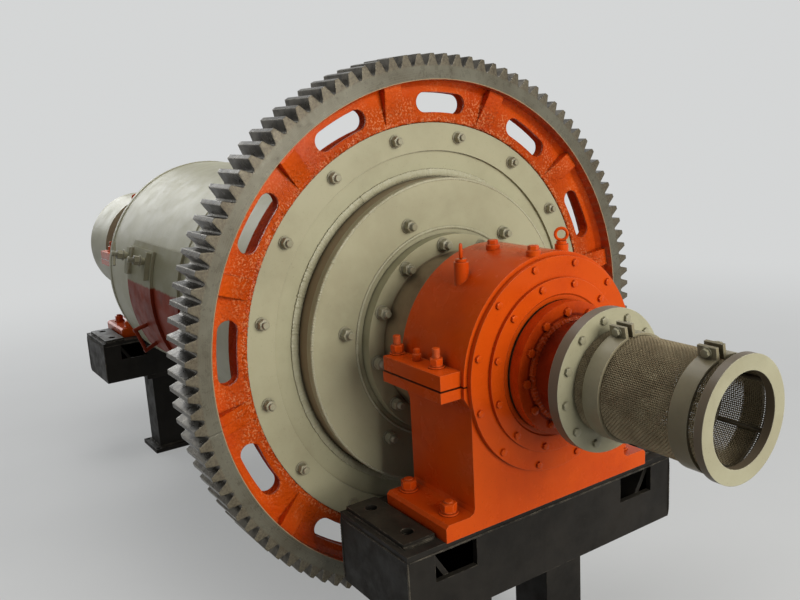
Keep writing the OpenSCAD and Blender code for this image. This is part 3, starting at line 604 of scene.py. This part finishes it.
def stud_nut(shape, turn, size, reach):
    """Washer, spring washer, nut and stud of a nominal diameter, standing reach past the nut."""
    flat = size * WASHER_H
    low = flat + size * SPRING_H
    high = low + size * NUT_H
    washer(shape, turn, size * WASHER_R, flat)
    washer(shape, turn @ Matrix.Translation((0, 0, flat)), size * SPRING_R, low - flat)
    shape.hexagon(size * NUT_ACROSS, low, high, turn)
    stud(shape, turn, size / 2, high - size * STUD_IN_NUT, high + reach)


def bolt_head(shape, turn, size, with_washer=False):
    low = 0
    if with_washer:
        low = size * HEAD_WASHER_H
        washer(shape, turn, size * HEAD_WASHER_R, low)
    shape.hexagon(size * HEAD_ACROSS, low, low + size * HEAD_H, turn)


def circle_of(count, first):
    """Even angles round a circle, in degrees, from the first."""
    return [first + k * 360 / count for k in range(count)]


def ring_of_bolts(x, direction, radius, angles, make, *sizes):
    """Fasteners on a circle about the mill's axis, each turned at random."""
    shape = Shape()
    for a in angles:
        turn = facing(on_circle(x, radius, a), (direction, 0, 0), random.uniform(0, math.tau))
        make(shape, turn, *sizes)
    return shape


# Bolts of the turning parts. A stud's two sizes are its nominal diameter and its reach past the
# nut, and the disc and both trunnions have the same studs.
END_BOLTS = circle_of(16, 10.6)
END_BOLT_R = 0.562
END_STUD = (0.018, 0.009)
END_HEAD = 0.016
DISC_BOLTS = circle_of(6, 50)
DISC_BOLT_R = 0.345
DISC_STUD = (0.020, 0.013)
TRUNNION_BOLTS = circle_of(12, 6)
TRUNNION_BOLT_R = 0.266
TRUNNION_FLANGE_T = 0.036
SPLIT_ANGLE = 9.9
SPLIT_FLANGE_T = 0.026
SPLIT_BOLT_X = GEAR_X - 0.103
SPLIT_BOLT_RADII = (0.640, 0.690)
SPLIT_BOLT = 0.018
SPLIT_REACH = 0.006


def turning_bolts():
    shape = ring_of_bolts(FLANGE_FRONT, 1, END_BOLT_R, END_BOLTS, stud_nut, *END_STUD)
    for a in END_BOLTS:
        bolt_head(shape, facing(on_circle(GEAR_BACK, END_BOLT_R, a), (-1, 0, 0), a), END_HEAD)
    piece("end_flange_bolts", shape, GREY_BOLT, "rotor")
    shape = ring_of_bolts(DISC_FRONT, 1, DISC_BOLT_R, DISC_BOLTS, stud_nut, *DISC_STUD)
    piece("disc_bolts", shape, GREY_BOLT, "rotor")
    shape = Shape()
    for a in (SPLIT_ANGLE, SPLIT_ANGLE + 180):
        t = math.radians(a)
        across = Vector((0, -math.sin(t), math.cos(t)))
        for radius in SPLIT_BOLT_RADII:
            place = on_circle(SPLIT_BOLT_X, radius, a)
            head = facing(place + across * SPLIT_FLANGE_T, across, a)
            bolt_head(shape, head, SPLIT_BOLT, with_washer=True)
            nut = facing(place - across * SPLIT_FLANGE_T, -across, a)
            stud_nut(shape, nut, SPLIT_BOLT, SPLIT_REACH)
    piece("gear_split_bolts", shape, ORANGE, "rotor")


# Bearings: places u run along the axis from the housing's middle, away from the shell. Heights are
# from the plane where the housing splits. Dowels and plugs have (radius, height) profiles, and the
# plugs' hexagons a width, a low and a high end.
CAP_R = 0.281
COVER_BOLTS = circle_of(12, 15)
COVER_BOLT_R = 0.256
SEAL_BOLT_R = 0.205
COVER_BOLT = 0.010
SPLIT_STUD_U = (-0.115, 0.050)
SPLIT_STUD_Y = 0.300
SPLIT_TOP = 0.038
SPLIT_UNDER = -0.028
SPLIT_STUD = (0.020, 0.024)
SPLIT_HEAD = 0.020
DOWEL_U = -0.030
DOWEL = [(0.011, 0), (0.011, 0.016), (0.008, 0.018), (0.008, 0.028), (0.006, 0.030)]
FOOT_STUD_U = (-0.095, 0.075)
FOOT_STUD_Y = 0.302
FOOT_TOP = -0.326
FOOT_STUD = (0.024, 0.005)
PLUG_U = (-0.040, 0.110)
PLUG_Y = -0.040
PLUG_BOSS = [(0.018, -0.012), (0.018, 0.010), (0.016, 0.012)]
PLUG_HEX = (0.024, 0.012, 0.023)
PLUG_ROLL = 0.3
STUD_ROLL, HEAD_ROLL, FOOT_ROLL = 40, 30, 20    # turn of a nut or head, in radians to the metre of u
HUB_BOLTS = circle_of(12, 3)
HUB_BOLT_R = 0.143
HUB_BOLT = 0.012
HUB_FACE_U = 0.186
TUBE_R = {"front": 0.120, "rear": 0.132}


class End:
    """One bearing end: front or rear, with places along the axis that run away from the shell."""

    def __init__(self, name, away):
        self.name = name
        self.away = away
        low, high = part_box("housing_cap_" + name)
        self.middle = (low.x + high.x) / 2
        self.split_z = low.z

    def outer(self, node):
        """Face of a node that looks away from the shell."""
        low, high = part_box(node)
        return high.x if self.away > 0 else low.x

    def inner(self, node):
        """Face of a node that looks towards the shell."""
        low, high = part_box(node)
        return low.x if self.away > 0 else high.x

    def x(self, u):
        return self.middle + self.away * u

    def above(self, u, y, height, direction=(0, 0, 1), roll=0.0):
        """Turn that faces up or down, at a height from the split."""
        return facing(Vector((self.x(u), y, self.split_z + height)), direction, roll)


ENDS = [End("front", 1), End("rear", -1)]


def bearing_bolts(end):
    shape = Shape()
    for face, direction, radius in (
            (end.outer("outer_cover_" + end.name), end.away, COVER_BOLT_R),
            (end.outer("seal_ring_" + end.name), end.away, SEAL_BOLT_R),
            (end.inner("inner_cover_" + end.name), -end.away, COVER_BOLT_R)):
        ring = ring_of_bolts(face, direction, radius, COVER_BOLTS, bolt_head, COVER_BOLT)
        shape.add(ring.points, ring.faces)
    for side in (-1, 1):
        y = side * SPLIT_STUD_Y
        for u in SPLIT_STUD_U:
            stud_nut(shape, end.above(u, y, SPLIT_TOP, roll=u * STUD_ROLL), *SPLIT_STUD)
            bolt_head(shape, end.above(u, y, SPLIT_UNDER, (0, 0, -1), u * HEAD_ROLL), SPLIT_HEAD)
        shape.lathe(DOWEL, end.above(DOWEL_U, y, SPLIT_TOP))
        for u in FOOT_STUD_U:
            foot = end.above(u, side * FOOT_STUD_Y, FOOT_TOP, roll=u * FOOT_ROLL)
            stud_nut(shape, foot, *FOOT_STUD)
    for u in PLUG_U:
        plug = end.above(u, PLUG_Y, math.sqrt(CAP_R ** 2 - PLUG_Y ** 2), roll=PLUG_ROLL)
        shape.lathe(PLUG_BOSS, plug)
        shape.hexagon(*PLUG_HEX, plug)
    piece("housing_bolts_" + end.name, shape, ORANGE, "frame")
    shape = ring_of_bolts(end.x(HUB_FACE_U), end.away, HUB_BOLT_R, HUB_BOLTS, bolt_head, HUB_BOLT)
    piece("hub_bolts_" + end.name, shape, ORANGE, "rotor")
    rear_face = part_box("trunnion_rear")[1].x
    flange = DISC_FRONT + TRUNNION_FLANGE_T if end.away > 0 else rear_face - TRUNNION_FLANGE_T
    shape = ring_of_bolts(flange, end.away, TRUNNION_BOLT_R, TRUNNION_BOLTS, stud_nut, *DISC_STUD)
    piece("trunnion_bolts_" + end.name, shape, GREY_BOLT, "rotor")


# Clamps of the manhole: places along the mill, angle about its axis and radius at the bosses' tops.
# Each has a nut and a loose cross bar that leans from the way round the shell.
CLAMP_X = (GEAR_X - 1.431, GEAR_X - 1.219)
CLAMP_ANGLE = 164
CLAMP_TOP_R = 0.5204
CLAMP_STUD = (0.022, 0.022)
BAR_LEANS = (28, -8)
BAR_LIFT = 0.036
BAR_L = 0.100
BAR_R = 0.0055
BAR_CHAMFER = 0.001
BAR_SIDES = 12


def manhole_bolts():
    """Nut with a loose cross bar on each clamp."""
    shape = Shape()
    a = math.radians(CLAMP_ANGLE)
    out = Vector((0, math.cos(a), math.sin(a)))
    round_shell = Vector((0, -math.sin(a), math.cos(a)))
    bar = [(BAR_R - BAR_CHAMFER, 0), (BAR_R, BAR_CHAMFER), (BAR_R, BAR_L - BAR_CHAMFER),
           (BAR_R - BAR_CHAMFER, BAR_L)]
    for x, lean in zip(CLAMP_X, BAR_LEANS):
        place = on_circle(x, CLAMP_TOP_R, CLAMP_ANGLE)
        stud_nut(shape, facing(place, out, lean), *CLAMP_STUD)
        t = math.radians(lean)
        down = round_shell * math.cos(t) + Vector((math.sin(t), 0, 0))
        shape.lathe(bar, facing(place + out * BAR_LIFT - down * BAR_L / 2, down), BAR_SIDES)
    piece("manhole_bolts", shape, GREY_BOLT, "rotor")


# Trommel: bolts of its flange, then the lugs of the clamp bands, with their lean from the top, the
# bolt's distance from the mill's axis and half their width over both
TROMMEL_BOLTS = circle_of(12, 9.5)
TROMMEL_BOLT_R = 0.149
TROMMEL_BOLT = 0.011
LUG_ANGLE = 10
LUG_BOLT_R = 0.1395
LUG_FACE = 0.015
LUG_WASHER_R, LUG_WASHER_H = 0.012, 0.002
LUG_HEX = 0.017
LUG_HEAD_TOP, LUG_NUT_TOP = 0.009, 0.010
LUG_STUD_R = 0.005
LUG_STUD_END = 0.018
LUG_HEAD_ROLL, LUG_NUT_ROLL = 0.2, 0.5


def trommel_bolts():
    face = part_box("trommel_flange")[1].x
    shape = ring_of_bolts(face, 1, TROMMEL_BOLT_R, TROMMEL_BOLTS, bolt_head, TROMMEL_BOLT)
    lean = math.radians(LUG_ANGLE)
    across = Vector((0, math.cos(lean), math.sin(lean)))
    up = Vector((0, -math.sin(lean), math.cos(lean)))
    for band in ("trommel_band_inner", "trommel_band_outer"):
        low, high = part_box(band)
        place = Vector(((low.x + high.x) / 2, 0, AXIS_Z)) + up * LUG_BOLT_R
        near = facing(place - across * LUG_FACE, -across, LUG_HEAD_ROLL)
        far = facing(place + across * LUG_FACE, across, LUG_NUT_ROLL)
        for turn, top in ((near, LUG_HEAD_TOP), (far, LUG_NUT_TOP)):
            washer(shape, turn, LUG_WASHER_R, LUG_WASHER_H)
            shape.hexagon(LUG_HEX, LUG_WASHER_H, top, turn)
        stud(shape, far, LUG_STUD_R, -2 * LUG_FACE - LUG_WASHER_H, LUG_STUD_END)
    piece("trommel_bolts", shape, GREY_BOLT, "rotor")


def waver(seed, waves=6, low=3, high=40):
    """A smooth closed wobble about 0 along an angle, from -1 to 1."""
    draw = random.Random(seed)
    terms = [(draw.randint(low, high), draw.uniform(0, math.tau), draw.uniform(0.3, 1))
             for _ in range(waves)]
    total = sum(t[2] for t in terms)
    return lambda a: sum(w * math.sin(n * a + p) for n, p, w in terms) / total


def bead_section(crown):
    """Points round a weld bead: degrees from its crown, and distance as a share of its size."""
    return ((-100, 0.9), (-55, 1), (0, crown), (55, 1), (100, 0.9), (180, 0.5))


# Weld beads: their sections, how much the ripples and the welder's hand change their size, and how
# the ends of a straight one taper
RING_SECTION = bead_section(0.92)
RING_RIPPLE, RING_WAVER = 0.13, 0.34
LINE_SECTION = bead_section(0.9)
LINE_RIPPLE, LINE_WAVER = 0.18, 0.2
LINE_PITCH = 0.008
LINE_END, LINE_GROWTH = 0.35, 6
STEPS_PER_RIPPLE = 3


def weld_ring(shape, x, radius, size, lean, seed, pitch=0.007, rise=1.0):
    """Rippled weld bead about the axis.

    lean is the crown's angle from +X towards outwards, in degrees. rise is the bead's height along
    X as a share of its width.
    """
    ripples = int(math.tau * radius / pitch)
    wave = waver(seed, waves=24, low=5, high=ripples)
    steps = ripples * STEPS_PER_RIPPLE
    crown = math.radians(lean)
    rows = []
    for k in range(steps):
        a = math.tau * k / steps
        swell = 1 + RING_RIPPLE * rise * math.cos(ripples * a) + RING_WAVER * wave(a)
        row = []
        for turn, share in RING_SECTION:
            t = crown + math.radians(turn)
            reach = size * share * swell
            r = radius + reach * math.sin(t)
            row.append((x + rise * reach * math.cos(t), r * math.cos(a), AXIS_Z + r * math.sin(a)))
        rows.append(row)
    shape.rows(rows, closed=True)


def weld_line(shape, start, stop, crown, size, seed):
    """Rippled weld bead from a point to a point, its crown along a direction."""
    wave = waver(seed)
    start, stop, crown = Vector(start), Vector(stop), Vector(crown).normalized()
    along = (stop - start).normalized()
    side = along.cross(crown)
    steps = int((stop - start).length / LINE_PITCH * STEPS_PER_RIPPLE)
    rows = []
    for k in range(steps + 1):
        t = k / steps
        swell = 1 + LINE_RIPPLE * math.cos(math.tau * k / STEPS_PER_RIPPLE)
        swell += LINE_WAVER * wave(t * math.tau)
        taper = min(1, LINE_END + LINE_GROWTH * min(t, 1 - t))
        row = []
        for turn, share in LINE_SECTION:
            a = math.radians(turn)
            reach = size * share * swell * taper
            row.append(start.lerp(stop, t) + (crown * math.cos(a) + side * math.sin(a)) * reach)
        rows.append(row)
    shape.rows(rows)


# Ring beads: radii or places off the plates' edges, and sizes
DRUM_FOOT_OFF, DRUM_FOOT_SIZE, DRUM_FOOT_PITCH, DRUM_FOOT_RISE = 0.014, 0.012, 0.009, 0.6
DRUM_EDGE_IN, DRUM_EDGE_SIZE = 0.003, 0.005
DISC_BEAD_R, DISC_BEAD_SIZE = 0.306, 0.0045
SHELL_FOOT_SIZE = 0.008
SHELL_BACK_IN, SHELL_BACK_SIZE = 0.002, 0.006
SHELL_SEAM_IN, SHELL_SEAM_SIZE = 0.001, 0.0045
TUBE_BEAD_OFF, TUBE_BEAD_PITCH = 0.002, 0.010
HUB_BEAD_SIZE, TUBE_END_SIZE = 0.010, 0.008


def shell_welds():
    shape = Shape()
    weld_ring(shape, PLATE_FRONT, DRUM_R + DRUM_FOOT_OFF, DRUM_FOOT_SIZE, lean=0, seed=1,
              pitch=DRUM_FOOT_PITCH, rise=DRUM_FOOT_RISE)
    edge_x, edge_r = DISC_FRONT - DRUM_EDGE_IN, DRUM_R - DRUM_EDGE_IN
    weld_ring(shape, edge_x, edge_r, DRUM_EDGE_SIZE, lean=45, seed=2)
    weld_ring(shape, DISC_FRONT, DISC_BEAD_R, DISC_BEAD_SIZE, lean=0, seed=3)
    foot_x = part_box("shell_flange")[0].x
    weld_ring(shape, foot_x, SHELL_R, SHELL_FOOT_SIZE, lean=135, seed=4)
    weld_ring(shape, SHELL_BACK, SHELL_R - SHELL_BACK_IN, SHELL_BACK_SIZE, lean=90, seed=5)
    seam_x = (SHELL_BACK + FLANGE_FRONT) / 2
    weld_ring(shape, seam_x, SHELL_R - SHELL_SEAM_IN, SHELL_SEAM_SIZE, lean=90, seed=6)
    piece("shell_welds", shape, WELD, "rotor")


def neck_welds():
    """Beads at both ends of each neck's tube."""
    shape = Shape()
    for end in ENDS:
        front = end.away > 0
        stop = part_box("trommel_back_plate")[0].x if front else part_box("feed_drum")[1].x
        radius = TUBE_R[end.name] + TUBE_BEAD_OFF
        away, back = (45, 135) if front else (135, 45)
        weld_ring(shape, end.x(HUB_FACE_U), radius, HUB_BEAD_SIZE, away, seed=7, pitch=TUBE_BEAD_PITCH)
        weld_ring(shape, stop, radius, TUBE_END_SIZE, back, seed=8, pitch=TUBE_BEAD_PITCH)
    piece("neck_welds", shape, ORANGE_WELD, "rotor")


# Cast edge of the web: its inner side and its top with how far each wavers, then its soft inner
# corner, the crest's start and end, and the toe and root on the web behind it
EDGE_STEPS = 3600
EDGE_LUMPS = {"waves": 30, "low": 60, "high": 900}
EDGE_IN, EDGE_REACH = 0.002, 0.004
EDGE_RISE, EDGE_LIFT = 0.0025, 0.006
EDGE_SOFT_OUT, EDGE_SOFT_DOWN = 0.001, 0.0015
CREST_START = 0.004
CREST_END, CREST_FALL = 0.007, 0.001
TOE_OUT, TOE_DOWN = 0.014, 0.0005
ROOT_OUT, ROOT_DOWN = 0.012, 0.004


def cast_edge():
    """Lumpy edge of the cast web where it meets the flange ring."""
    shape = Shape()
    reach, lift = waver(9, **EDGE_LUMPS), waver(10, **EDGE_LUMPS)
    rows = []
    for k in range(EDGE_STEPS):
        a = math.tau * k / EDGE_STEPS
        inner = WEB_IN_R - EDGE_IN + EDGE_REACH * reach(a)
        top = WEB_FRONT + EDGE_RISE + EDGE_LIFT * lift(a)
        section = ((inner, FLANGE_FRONT), (inner + EDGE_SOFT_OUT, top - EDGE_SOFT_DOWN),
                   (inner + CREST_START, top), (WEB_IN_R + CREST_END, top - CREST_FALL),
                   (WEB_IN_R + TOE_OUT, WEB_FRONT - TOE_DOWN),
                   (WEB_IN_R + ROOT_OUT, WEB_FRONT - ROOT_DOWN))
        rows.append([(x, r * math.cos(a), AXIS_Z + r * math.sin(a)) for r, x in section])
    shape.rows(rows, closed=True)
    piece("web_edge", shape, GEAR, "rotor")


# Frame: posts and plates of the legs, top plate of the girder, and sizes of the beads on them
LEG_W = 0.136
LEG_Y = 0.171
LEG_PLATE_T = 0.020
TOP_PLATE_T = 0.016
POST_BEAD = 0.006
SEAM_BEAD = 0.0035
SEAM_INSET = 0.006
CORNER_BEAD = 0.003
CORNER_START = 0.005
PAD_BEAD = 0.003
SEAM_CROWN_FALL = -0.4          # height of a crown's direction, for 1 outwards
PAD_CROWN_RISE = 0.6


def square_weld(shape, low, high, z, up, seed):
    """Bead round a post's foot or head."""
    corners = [(low.x, low.y), (high.x, low.y), (high.x, high.y), (low.x, high.y)]
    outs = [(0, -1), (1, 0), (0, 1), (-1, 0)]
    for k in range(4):
        a, b = corners[k], corners[(k + 1) % 4]
        weld_line(shape, (*a, z), (*b, z), (*outs[k], up), POST_BEAD, seed + k)


def frame_welds(end):
    """Beads of one girder: round its posts, under its top plate, down its corners and at its pads."""
    shape = Shape()
    low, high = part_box("base_" + end.name)
    legs_low, legs_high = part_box("legs_" + end.name)
    post_x = (legs_low.x + legs_high.x) / 2
    for side in (-1, 1):
        post_low = Vector((post_x - LEG_W / 2, side * LEG_Y - LEG_W / 2, 0))
        post_high = Vector((post_x + LEG_W / 2, side * LEG_Y + LEG_W / 2, 0))
        square_weld(shape, post_low, post_high, LEG_PLATE_T, up=1, seed=20)
        square_weld(shape, post_low, post_high, low.z - LEG_PLATE_T, up=-1, seed=30)
    seam = high.z - TOP_PLATE_T
    y_low, y_high = low.y + SEAM_INSET, high.y - SEAM_INSET
    for x, out in ((low.x, -1), (high.x, 1)):
        crown = (out, 0, SEAM_CROWN_FALL)
        weld_line(shape, (x, y_low, seam), (x, y_high, seam), crown, SEAM_BEAD, seed=41)
    x_low, x_high = low.x + SEAM_INSET, high.x - SEAM_INSET
    for y, out in ((low.y, -1), (high.y, 1)):
        crown = (0, out, SEAM_CROWN_FALL)
        weld_line(shape, (x_low, y, seam), (x_high, y, seam), crown, SEAM_BEAD, seed=42)
    for x in (low.x, high.x):
        for y in (low.y, high.y):
            crown = (x - end.middle, y, 0)
            weld_line(shape, (x, y, low.z + CORNER_START), (x, y, seam), crown, CORNER_BEAD, seed=43)
    pads_low, pads_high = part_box("anchor_pads_" + end.name)
    for side in (-1, 1):
        start, stop = (Vector((x, side * pads_high.y, high.z)) for x in (pads_low.x, pads_high.x))
        weld_line(shape, start, stop, (0, side, PAD_CROWN_RISE), PAD_BEAD, seed=44)
    piece("frame_welds_" + end.name, shape, BLACK_WELD, "frame")


# Woven screen: hoop wires round the axis and long wires along it, each over and under the others
WIRE_R = 0.00145
HOOP_COUNT = 72
LONG_COUNT = 160


def wire_row(centre, across, out):
    """Four points round a wire."""
    return [centre + way * WIRE_R for way in (across, out, -across, -out)]


def woven_screen():
    low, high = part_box("trommel_screen")
    r = high.z - AXIS_Z - 2 * WIRE_R
    step = (high.x - low.x) / HOOP_COUNT
    hoops = Shape()
    for i in range(HOOP_COUNT):
        x = low.x + (i + 0.5) * step
        rows = []
        for k in range(LONG_COUNT):
            a = math.tau * k / LONG_COUNT
            out = Vector((0, math.cos(a), math.sin(a)))
            lift = WIRE_R if (i + k) % 2 else -WIRE_R
            rows.append(wire_row(Vector((x, 0, AXIS_Z)) + out * (r + lift), Vector((1, 0, 0)), out))
        hoops.rows(rows, closed=True)
    piece("screen_hoop_wires", hoops, WIRE, "rotor", ["trommel_screen"])
    longs = Shape()
    for k in range(LONG_COUNT):
        a = math.tau * k / LONG_COUNT
        out = Vector((0, math.cos(a), math.sin(a)))
        across = Vector((0, -math.sin(a), math.cos(a)))
        rows = []
        for i in range(HOOP_COUNT + 2):
            x = low.x + min(max(i - 0.5, 0), HOOP_COUNT) * step
            lift = -WIRE_R if (i - 1 + k) % 2 else WIRE_R
            rows.append(wire_row(Vector((x, 0, AXIS_Z)) + out * (r + lift), across, out))
        longs.rows(rows)
    piece("screen_long_wires", longs, WIRE, "rotor", ["trommel_screen"])


# Floor and backdrop: colours as seen and as they light the mill, and where the floor fades
BACKDROP = (0.66, 0.67, 0.67, 1)
FLOOR_SHADES = (0.66, 0.66, 0.65, 1), (0.62, 0.62, 0.61, 1)
FLOOR_BOUNCED = (0.26, 0.26, 0.26, 1)
FLOOR_ROUGHNESS = 0.75
FLOOR_SPECULAR = 0.2
FLOOR_HALF = 60.0
FADE_START = 1.5
FADE_END = 6.5
FADE_NEAR = 0.4
SKY = (0.92, 0.96, 1.0, 1)
SKY_STRENGTH = 0.2

# Lamps: place, target, side of the square, watts and colour
LAMPS = {
    "key": ((7.5, 1.1, 2.9), (0.9, 0, 0.9), 4.2, 445, (1, 0.98, 0.93)),
    "side": ((1.2, -6.0, 4.4), (0.4, -0.5, 1.1), 0.9, 16, (0.96, 0.98, 1)),
    "top": ((-1.0, 0.4, 5.6), (-0.4, 0, 1.0), 3.0, 102, (1, 1, 1)),
    "back": ((-8.5, -0.6, 3.4), (-0.6, -0.2, 1.2), 3.6, 130, (0.97, 0.99, 1)),
}


def seen_directly(tree):
    """1 for camera, glossy and transmission rays."""
    path = tree.nodes.new("ShaderNodeLightPath")
    seen = path.outputs["Is Camera Ray"]
    for kind in ("Is Glossy Ray", "Is Transmission Ray"):
        either = tree.nodes.new("ShaderNodeMath")
        either.operation = "MAXIMUM"
        tree.links.new(seen, either.inputs[0])
        tree.links.new(path.outputs[kind], either.inputs[1])
        seen = either.outputs[0]
    return seen


def make_floor():
    """Pale floor that takes the mill's shadow and fades into the backdrop far away."""
    f = Finish("floor")
    seen = seen_directly(f.tree)
    pale = f.mix(f.patches(scale=0.9, detail=4, roughness=0.5, low=0.3, high=0.7), *FLOOR_SHADES)
    f.set(f.mix(seen, FLOOR_BOUNCED, pale), FLOOR_ROUGHNESS, specular=FLOOR_SPECULAR)
    fade = f.times(f.ramp(f.length(f.place), FADE_START, FADE_END, FADE_NEAR), seen)
    glow = f.add("ShaderNodeEmission", {"Color": BACKDROP, "Strength": 1.0})
    both = f.add("ShaderNodeMixShader", {0: fade, 1: f.shader.outputs[0], 2: glow.outputs[0]})
    output = next(n for n in f.tree.nodes if n.type == "OUTPUT_MATERIAL")
    f.tree.links.new(both.outputs[0], output.inputs["Surface"])
    mesh = bpy.data.meshes.new("floor")
    h = FLOOR_HALF
    mesh.from_pydata([(-h, -h, 0), (h, -h, 0), (h, h, 0), (-h, h, 0)], [], [(0, 1, 2, 3)])
    mesh.materials.append(f.material)
    floor = bpy.data.objects.new("floor", mesh)
    bpy.context.scene.collection.objects.link(floor)


def make_world():
    """Weak sky light, seen as the pale backdrop."""
    world = bpy.data.worlds.new("studio")
    world.use_nodes = True
    tree = world.node_tree
    background = tree.nodes["Background"]
    background.inputs["Color"].default_value = SKY
    background.inputs["Strength"].default_value = SKY_STRENGTH
    plain = tree.nodes.new("ShaderNodeBackground")
    plain.inputs["Color"].default_value = BACKDROP
    both = tree.nodes.new("ShaderNodeMixShader")
    tree.links.new(seen_directly(tree), both.inputs[0])
    tree.links.new(background.outputs[0], both.inputs[1])
    tree.links.new(plain.outputs[0], both.inputs[2])
    tree.links.new(both.outputs[0], tree.nodes["World Output"].inputs["Surface"])
    bpy.context.scene.world = world


def soft_light(name, place, target, size, power, colour):
    data = bpy.data.lights.new(name, "AREA")
    data.size = size
    data.energy = power
    data.color = colour
    lamp = bpy.data.objects.new(name, data)
    bpy.context.scene.collection.objects.link(lamp)
    lamp.location = place
    lamp.rotation_euler = (Vector(target) - Vector(place)).to_track_quat("-Z", "Y").to_euler()
    lamp.visible_camera = False


make_camera()
dress_nodes()
turning_bolts()
for bearing_end in ENDS:
    bearing_bolts(bearing_end)
manhole_bolts()
trommel_bolts()
for bearing_end in ENDS:
    frame_welds(bearing_end)
shell_welds()
neck_welds()
cast_edge()
woven_screen()
make_floor()
make_world()
for lamp_name, lamp_settings in LAMPS.items():
    soft_light(lamp_name, *lamp_settings)

view = bpy.context.scene.view_settings
view.view_transform = "Standard"
